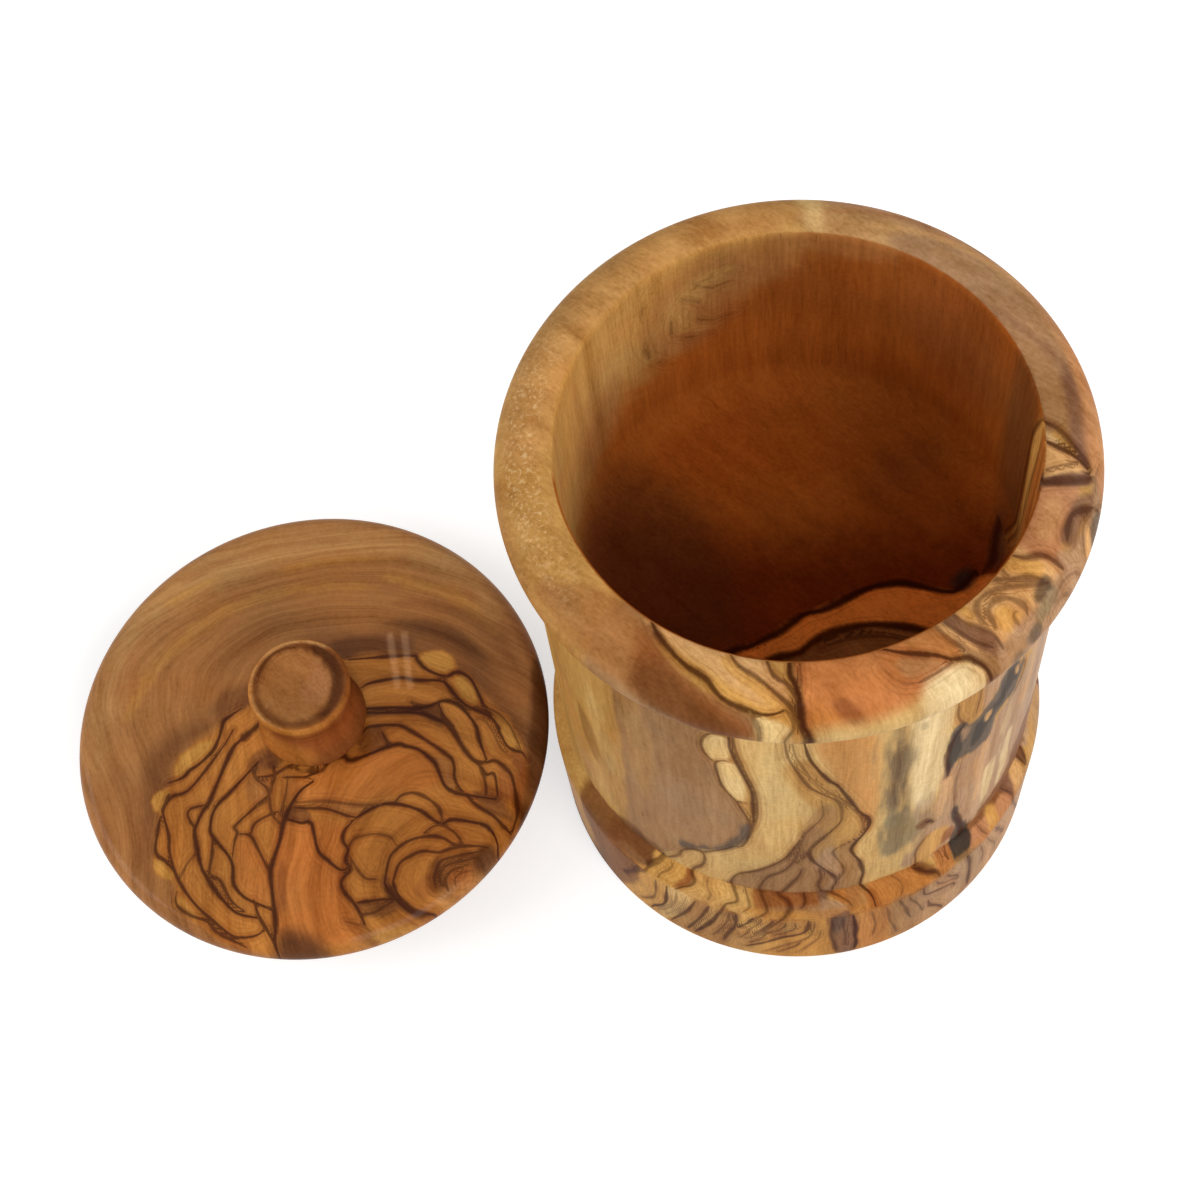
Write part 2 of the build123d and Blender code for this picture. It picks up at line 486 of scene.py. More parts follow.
class Pen:
    """Writes nodes into one node tree, in rows."""

    WIDE, HIGH, PER_ROW = 220, 260, 12

    def __init__(self, tree: bpy.types.NodeTree) -> None:
        """Takes the tree that the nodes go into."""
        self.tree = tree
        self.count = 0

    def node(self, kind: str, **settings: object) -> bpy.types.Node:
        """Adds a node and sets its plain properties."""
        node = self.tree.nodes.new(kind)
        node.location = (self.WIDE * (self.count % self.PER_ROW), -self.HIGH * (self.count // self.PER_ROW))
        self.count += 1
        for key, value in settings.items():
            setattr(node, key, value)
        return node

    def feed(self, socket: bpy.types.NodeSocket, value: object) -> None:
        """Links a socket to another, or sets its own value."""
        if isinstance(value, bpy.types.NodeSocket):
            self.tree.links.new(value, socket)
        else:
            socket.default_value = value

    def math(self, operation: str, a: object, b: object = 0.0, c: object = 0.0) -> bpy.types.NodeSocket:
        """A Math node's output."""
        node = self.node("ShaderNodeMath", operation=operation)
        for socket, value in zip(node.inputs, (a, b, c)):
            self.feed(socket, value)
        return node.outputs[0]

    def vector(self, operation: str, a: object, b: object = (0.0, 0.0, 0.0)) -> bpy.types.NodeSocket:
        """A Vector Math node's vector output, or its value where the operation gives one."""
        node = self.node("ShaderNodeVectorMath", operation=operation)
        self.feed(node.inputs[0], a)
        if operation == "SCALE":
            self.feed(node.inputs["Scale"], b)
        else:
            self.feed(node.inputs[1], b)
        return node.outputs["Value" if operation in ("LENGTH", "DISTANCE", "DOT_PRODUCT") else "Vector"]

    def noise(self, where: object, scale: float, detail: float = 2.0, rough: float = 0.5,
              distortion: float = 0.0) -> bpy.types.Node:
        """A noise texture."""
        node = self.node("ShaderNodeTexNoise")
        self.feed(node.inputs["Vector"], where)
        for key, value in (("Scale", scale), ("Detail", detail), ("Roughness", rough), ("Distortion", distortion)):
            node.inputs[key].default_value = value
        return node

    def spread(self, value: object, low: float, high: float, to_low: float = 0.0, to_high: float = 1.0,
               smooth: bool = True) -> bpy.types.NodeSocket:
        """Maps a value from one range to another, eased at both ends."""
        node = self.node("ShaderNodeMapRange", interpolation_type="SMOOTHSTEP" if smooth else "LINEAR")
        keys = ("Value", "From Min", "From Max", "To Min", "To Max")
        for key, number in zip(keys, (value, low, high, to_low, to_high)):
            self.feed(node.inputs[key], number)
        return node.outputs["Result"]

    def mix(self, share: object, a: object, b: object, blend: str = "MIX") -> bpy.types.NodeSocket:
        """A Mix node for colours, which has them as its inputs 6 and 7 and its output 2."""
        node = self.node("ShaderNodeMix", data_type="RGBA", blend_type=blend)
        self.feed(node.inputs["Factor"], share)
        self.feed(node.inputs[6], a)
        self.feed(node.inputs[7], b)
        return node.outputs[2]

    def parts(self, vector: object) -> bpy.types.Node:
        """Splits a vector into X, Y and Z."""
        node = self.node("ShaderNodeSeparateXYZ")
        self.feed(node.inputs[0], vector)
        return node

    def seen(self) -> bpy.types.NodeSocket:
        """1 where the camera looks straight, by a reflection or through glass, and else 0."""
        path = self.node("ShaderNodeLightPath").outputs
        return self.math("MAXIMUM", self.math("MAXIMUM", path["Is Camera Ray"], path["Is Glossy Ray"]),
                         path["Is Transmission Ray"])

    def group(self, tree: bpy.types.NodeTree, **values: object) -> bpy.types.Node:
        """Places a group and feeds its inputs, whose names have _ for a space."""
        node = self.node("ShaderNodeGroup", node_tree=tree)
        for key, value in values.items():
            self.feed(node.inputs[key.replace("_", " ")], value)
        return node


def new_group(name: str, inputs: dict[str, str],
              outputs: dict[str, str]) -> tuple[Pen, bpy.types.Node, bpy.types.Node]:
    """Starts a shader node group.

    Args:
        name: the group's name.
        inputs: the names of its inputs and their kinds, Float, Vector or Color.
        outputs: the same for its outputs.

    Returns:
        A pen for the group, its input node and its output node.
    """
    tree = bpy.data.node_groups.new(name, "ShaderNodeTree")
    for way, sockets in (("INPUT", inputs), ("OUTPUT", outputs)):
        for key, kind in sockets.items():
            tree.interface.new_socket(key, in_out=way, socket_type=f"NodeSocket{kind}")
    pen = Pen(tree)
    return pen, pen.node("NodeGroupInput"), pen.node("NodeGroupOutput")


def vein_group() -> bpy.types.NodeTree:
    """Group that turns a vertex's place by the nearest vein into masks.

    The line is dark within half a width of its middle and fades out past it, with an edge that
    noise makes ragged. The halo is a stain beside it, and the echo is the fine lines that run
    along it, a noise of the distance alone.
    """
    pen, given, out = new_group(
        "vein_lines",
        {"Vein": "Vector", "Near": "Vector", "Place": "Vector", "Ragged": "Float"},
        dict.fromkeys(VEIN_MASKS, "Float"),
    )
    line_edge, halo_edge, echo_edge = (1.75, 0.3), (1.7, 0.1), (4.5, 0.5)  # gone and full: half widths, mm, mm
    patchy_edge, band_edge, torn_edge = (0.35, 0.62), (0.5, 0.38), (0.5, 0.66)  # limits of noise values
    place = given.outputs["Place"]
    parts = pen.parts(given.outputs["Vein"])
    near = pen.parts(given.outputs["Near"])
    flat = pen.node("ShaderNodeCombineXYZ")
    pen.feed(flat.inputs[0], parts.outputs[0])
    pen.feed(flat.inputs[1], parts.outputs[1])
    wobble = pen.vector("SUBTRACT", pen.noise(place, Waves.RAGGED, 2.5, 0.62).outputs["Color"], (0.5, 0.5, 0.5))
    moved = pen.vector("ADD", flat.outputs[0], pen.vector("SCALE", wobble, given.outputs["Ragged"]))
    level = pen.node("ShaderNodeVectorMath", operation="MULTIPLY")
    pen.feed(level.inputs[0], moved)
    level.inputs[1].default_value = (1, 1, 0)
    away = pen.math("MAXIMUM", pen.vector("LENGTH", level.outputs[0]), near.outputs[0])
    line = pen.spread(away, *line_edge)
    pen.feed(out.inputs["Line"], pen.math("MULTIPLY", line, parts.outputs[2]))
    patchy = pen.spread(pen.noise(place, Waves.PATCHY, 2).outputs[0], *patchy_edge)
    halo = pen.math("MULTIPLY", pen.spread(near.outputs[1], *halo_edge), parts.outputs[2])
    pen.feed(out.inputs["Halo"], pen.math("MULTIPLY", halo, pen.math("MULTIPLY_ADD", patchy, 0.7, 0.3)))
    drift = pen.math("MULTIPLY_ADD", pen.noise(place, Waves.DRIFT, 1).outputs[0], 1.6, near.outputs[1])
    bands = pen.node("ShaderNodeTexNoise", noise_dimensions="1D")
    pen.feed(bands.inputs["W"], drift)
    bands.inputs["Scale"].default_value = 2.1
    bands.inputs["Detail"].default_value = 3.0
    strength = pen.math("MULTIPLY", pen.spread(near.outputs[1], *echo_edge), pen.spread(bands.outputs[0], *band_edge))
    pen.feed(out.inputs["Echo"], strength)
    torn = pen.spread(pen.noise(place, Waves.TORN, 3, 0.65).outputs[0], *torn_edge)
    pen.feed(out.inputs["Fleck"], pen.math("MULTIPLY", torn, near.outputs[2]))
    return pen.tree


def grain_group() -> bpy.types.NodeTree:
    """Group for the grain: broad colour streaks, fine fibres, pores and slow blotches.

    Each is a noise of the place stretched along the fibres. Pores are where a fine noise rises over
    a limit, so they show as short dark dashes.
    """
    pen, given, out = new_group(
        "wood_grain",
        {"Fibres": "Vector", "Place": "Vector"},
        dict.fromkeys(GRAIN_VALUES, "Float"),
    )
    pore_edge, thick_edge = (0.66, 0.76), (0.42, 0.62)  # limits of noise values
    fibres, place = given.outputs["Fibres"], given.outputs["Place"]
    pore = pen.spread(pen.noise(fibres, Waves.PORE, 1, 0.5).outputs[0], *pore_edge)
    thick = pen.spread(pen.noise(place, Waves.THICK, 2).outputs[0], *thick_edge)
    pen.feed(out.inputs["Streak"], pen.noise(fibres, Waves.STREAK, 4, 0.55, 0.3).outputs[0])
    pen.feed(out.inputs["Fibre"], pen.noise(fibres, Waves.FIBRE, 2, 0.6).outputs[0])
    pen.feed(out.inputs["Pore"], pen.math("MULTIPLY", pore, thick))
    pen.feed(out.inputs["Blotch"], pen.noise(place, Waves.BLOTCH, 3, 0.55).outputs[0])
    pen.feed(out.inputs["Mottle"], pen.noise(place, Waves.MOTTLE, 2, 0.6).outputs[0])
    return pen.tree


def surface_group() -> bpy.types.NodeTree:
    """Group that joins tone, veins and grain into the wood's colour, roughness and height.

    The tone is made lighter and darker by the grain, warmer in the blotches, browner beside the
    veins and nearly black on them. Pores and veins are a little rougher and lower.
    """
    pen, given, out = new_group(
        "oiled_wood",
        {"Tone": "Color", **dict.fromkeys(VEIN_MASKS + GRAIN_VALUES + ("Contrast", "Gloss"), "Float")},
        {"Color": "Color", "Roughness": "Float", "Height": "Float"},
    )
    grain_depth, blotch_depth = (1.0, 1.25, 1.6), (0.2, -0.1, -0.45)  # in red, green and blue
    g = given.outputs
    swing = pen.math("MULTIPLY", pen.math("SUBTRACT", g["Streak"], 0.5), g["Contrast"])
    for key, share in (("Fibre", 0.55), ("Mottle", 0.35)):
        swing = pen.math("MULTIPLY_ADD", pen.math("SUBTRACT", g[key], 0.5), share, swing)
    level = pen.node("ShaderNodeCombineColor")
    warm = pen.math("SUBTRACT", g["Blotch"], 0.5)
    for socket, depth, shift in zip(level.inputs, grain_depth, blotch_depth):
        pen.feed(socket, pen.math("MULTIPLY_ADD", warm, shift, pen.math("MULTIPLY_ADD", swing, depth, 1.0)))
    base = pen.mix(1.0, g["Tone"], level.outputs[0], "MULTIPLY")
    for key, share, stain in (("Halo", 0.55, linear(BESIDE_VEIN)), ("Echo", 0.3, ECHO_LIGHT)):
        base = pen.mix(pen.math("MULTIPLY", g[key], share), base, pen.mix(1.0, base, (*stain, 1), "MULTIPLY"))
    for key, share, colour in (("Pore", 0.3, PORE), ("Fleck", 0.5, FLECK)):
        base = pen.mix(pen.math("MULTIPLY", g[key], share), base, (*linear(colour), 1))
    base = pen.mix(g["Line"], base, (*linear(VEIN), 1))
    pen.feed(out.inputs["Color"], base)
    rough = g["Gloss"]
    for key, share in (("Fibre", 0.12), ("Pore", 0.2), ("Line", 0.06), ("Fleck", 0.2)):
        rough = pen.math("MULTIPLY_ADD", g[key], share, rough)
    pen.feed(out.inputs["Roughness"], rough)
    height = pen.math("MULTIPLY", g["Fibre"], 0.35)
    for key, share in (("Pore", -0.8), ("Line", -0.5)):
        height = pen.math("MULTIPLY_ADD", g[key], share, height)
    pen.feed(out.inputs["Height"], height)
    return pen.tree


class Cut(Enum):
    """How a piece was cut from the log, which sets the way its fibres run."""

    UPRIGHT = "upright"  # fibres along Z, as in the bowl and the dowel
    RINGED = "ringed"  # growth rings about a point outside the piece's middle, as on the lid


@dataclass(frozen=True)
class Finish:
    """One piece's oiled wood: its cut, its levels, its rings and its bump.

    Ringed wood has the middle of its rings in mm. It moves to another middle, drift, as Y falls
    through drift_span, in m. Upright wood has the angle of its rings in degrees.
    """

    name: str
    cut: Cut
    middle: tuple[float, float] = (0.0, 0.0)
    contrast: float = 0.5
    gloss: float = 0.28
    ragged: float = 0.7
    coat: float = 0.03
    spec: float = 0.1
    ior: float = 1.08
    rings: float = -48.0
    drift: tuple[float, float] = (0.0, 0.0)
    drift_span: tuple[float, float] = (0.022, -0.03)
    bend: float = 0.009
    coat_gloss: float = 0.03
    bump: float = 0.35
    bump_depth: float = 0.0002
    plain: Tone | None = None

    def fibres(self, pen: Pen, place: bpy.types.NodeSocket) -> bpy.types.NodeSocket:
        """Stretches the place along the fibres.

        Upright wood is turned so that its growth rings run along Y, then squeezes Y to a third and Z to
        a twentieth. Ringed wood uses the distance from the rings' middle, which drifts to another place
        towards the front, with X, Y and Z squeezed, so that its noise runs in arcs.
        """
        if self.cut is Cut.UPRIGHT:
            turned = pen.node("ShaderNodeVectorRotate", rotation_type="Z_AXIS")
            pen.feed(turned.inputs["Vector"], place)
            turned.inputs["Angle"].default_value = math.radians(self.rings)
            return pen.vector("MULTIPLY", turned.outputs[0], (1.0, 0.33, 0.05))
        share = pen.spread(pen.parts(place).outputs[1], *self.drift_span)
        move = tuple((b - a) * MM for a, b in zip(self.middle, self.drift))
        centred = pen.vector("SUBTRACT", place, (self.middle[0] * MM, self.middle[1] * MM, 0.0))
        centred = pen.vector("SUBTRACT", centred, pen.vector("SCALE", (*move, 0.0), share))
        level = pen.vector("MULTIPLY", centred, (1.0, 1.12, 0.0))
        bent = pen.noise(place, Waves.BEND, 2).outputs[0]
        radius = pen.math("MULTIPLY_ADD", bent, self.bend, pen.vector("LENGTH", level))
        parts = pen.parts(pen.vector("MULTIPLY", place, (0.07, 0.07, 0.3)))
        joined = pen.node("ShaderNodeCombineXYZ")
        pen.feed(joined.inputs[0], pen.math("ADD", radius, parts.outputs[0]))
        pen.feed(joined.inputs[1], parts.outputs[1])
        pen.feed(joined.inputs[2], parts.outputs[2])
        return joined.outputs[0]

    def make(self, groups: dict[str, bpy.types.NodeTree]) -> bpy.types.Material:
        """Builds the material.

        Args:
            groups: the shared node groups by name.

        Returns:
            The material.
        """
        material = bpy.data.materials.new(self.name)
        material.use_nodes = True
        tree = material.node_tree
        tree.nodes.clear()
        pen = Pen(tree)
        place = pen.node("ShaderNodeTexCoord").outputs["Object"]
        grain = pen.group(groups["grain"], Fibres=self.fibres(pen, place), Place=place)
        if self.plain is None:
            tone, vein, near = (pen.node("ShaderNodeAttribute", attribute_name=name).outputs[kind] for name, kind in
                                (("tone", "Color"), ("vein", "Vector"), ("near", "Vector")))
            lines = pen.group(groups["vein"], Vein=vein, Near=near, Place=place, Ragged=self.ragged)
            masks = {key: lines.outputs[key] for key in VEIN_MASKS}
        else:
            tone = (*linear(self.plain.value), 1)
            masks = {}
        wood = pen.group(
            groups["surface"], Tone=tone, Contrast=self.contrast, Gloss=self.gloss, **masks,
            **{key: grain.outputs[key] for key in GRAIN_VALUES},
        )
        bump = pen.node("ShaderNodeBump")
        for key, value in (("Strength", self.bump), ("Distance", self.bump_depth),
                           ("Height", wood.outputs["Height"])):
            pen.feed(bump.inputs[key], value)
        shader = pen.node("ShaderNodeBsdfPrincipled")
        for key, value in (("IOR", self.ior), ("Specular IOR Level", self.spec), ("Coat Weight", self.coat),
                           ("Coat Roughness", self.coat_gloss), ("Base Color", wood.outputs["Color"]),
                           ("Roughness", wood.outputs["Roughness"]), ("Normal", bump.outputs[0])):
            pen.feed(shader.inputs[key], value)
        pen.feed(pen.node("ShaderNodeOutputMaterial").inputs[0], shader.outputs[0])
        return material
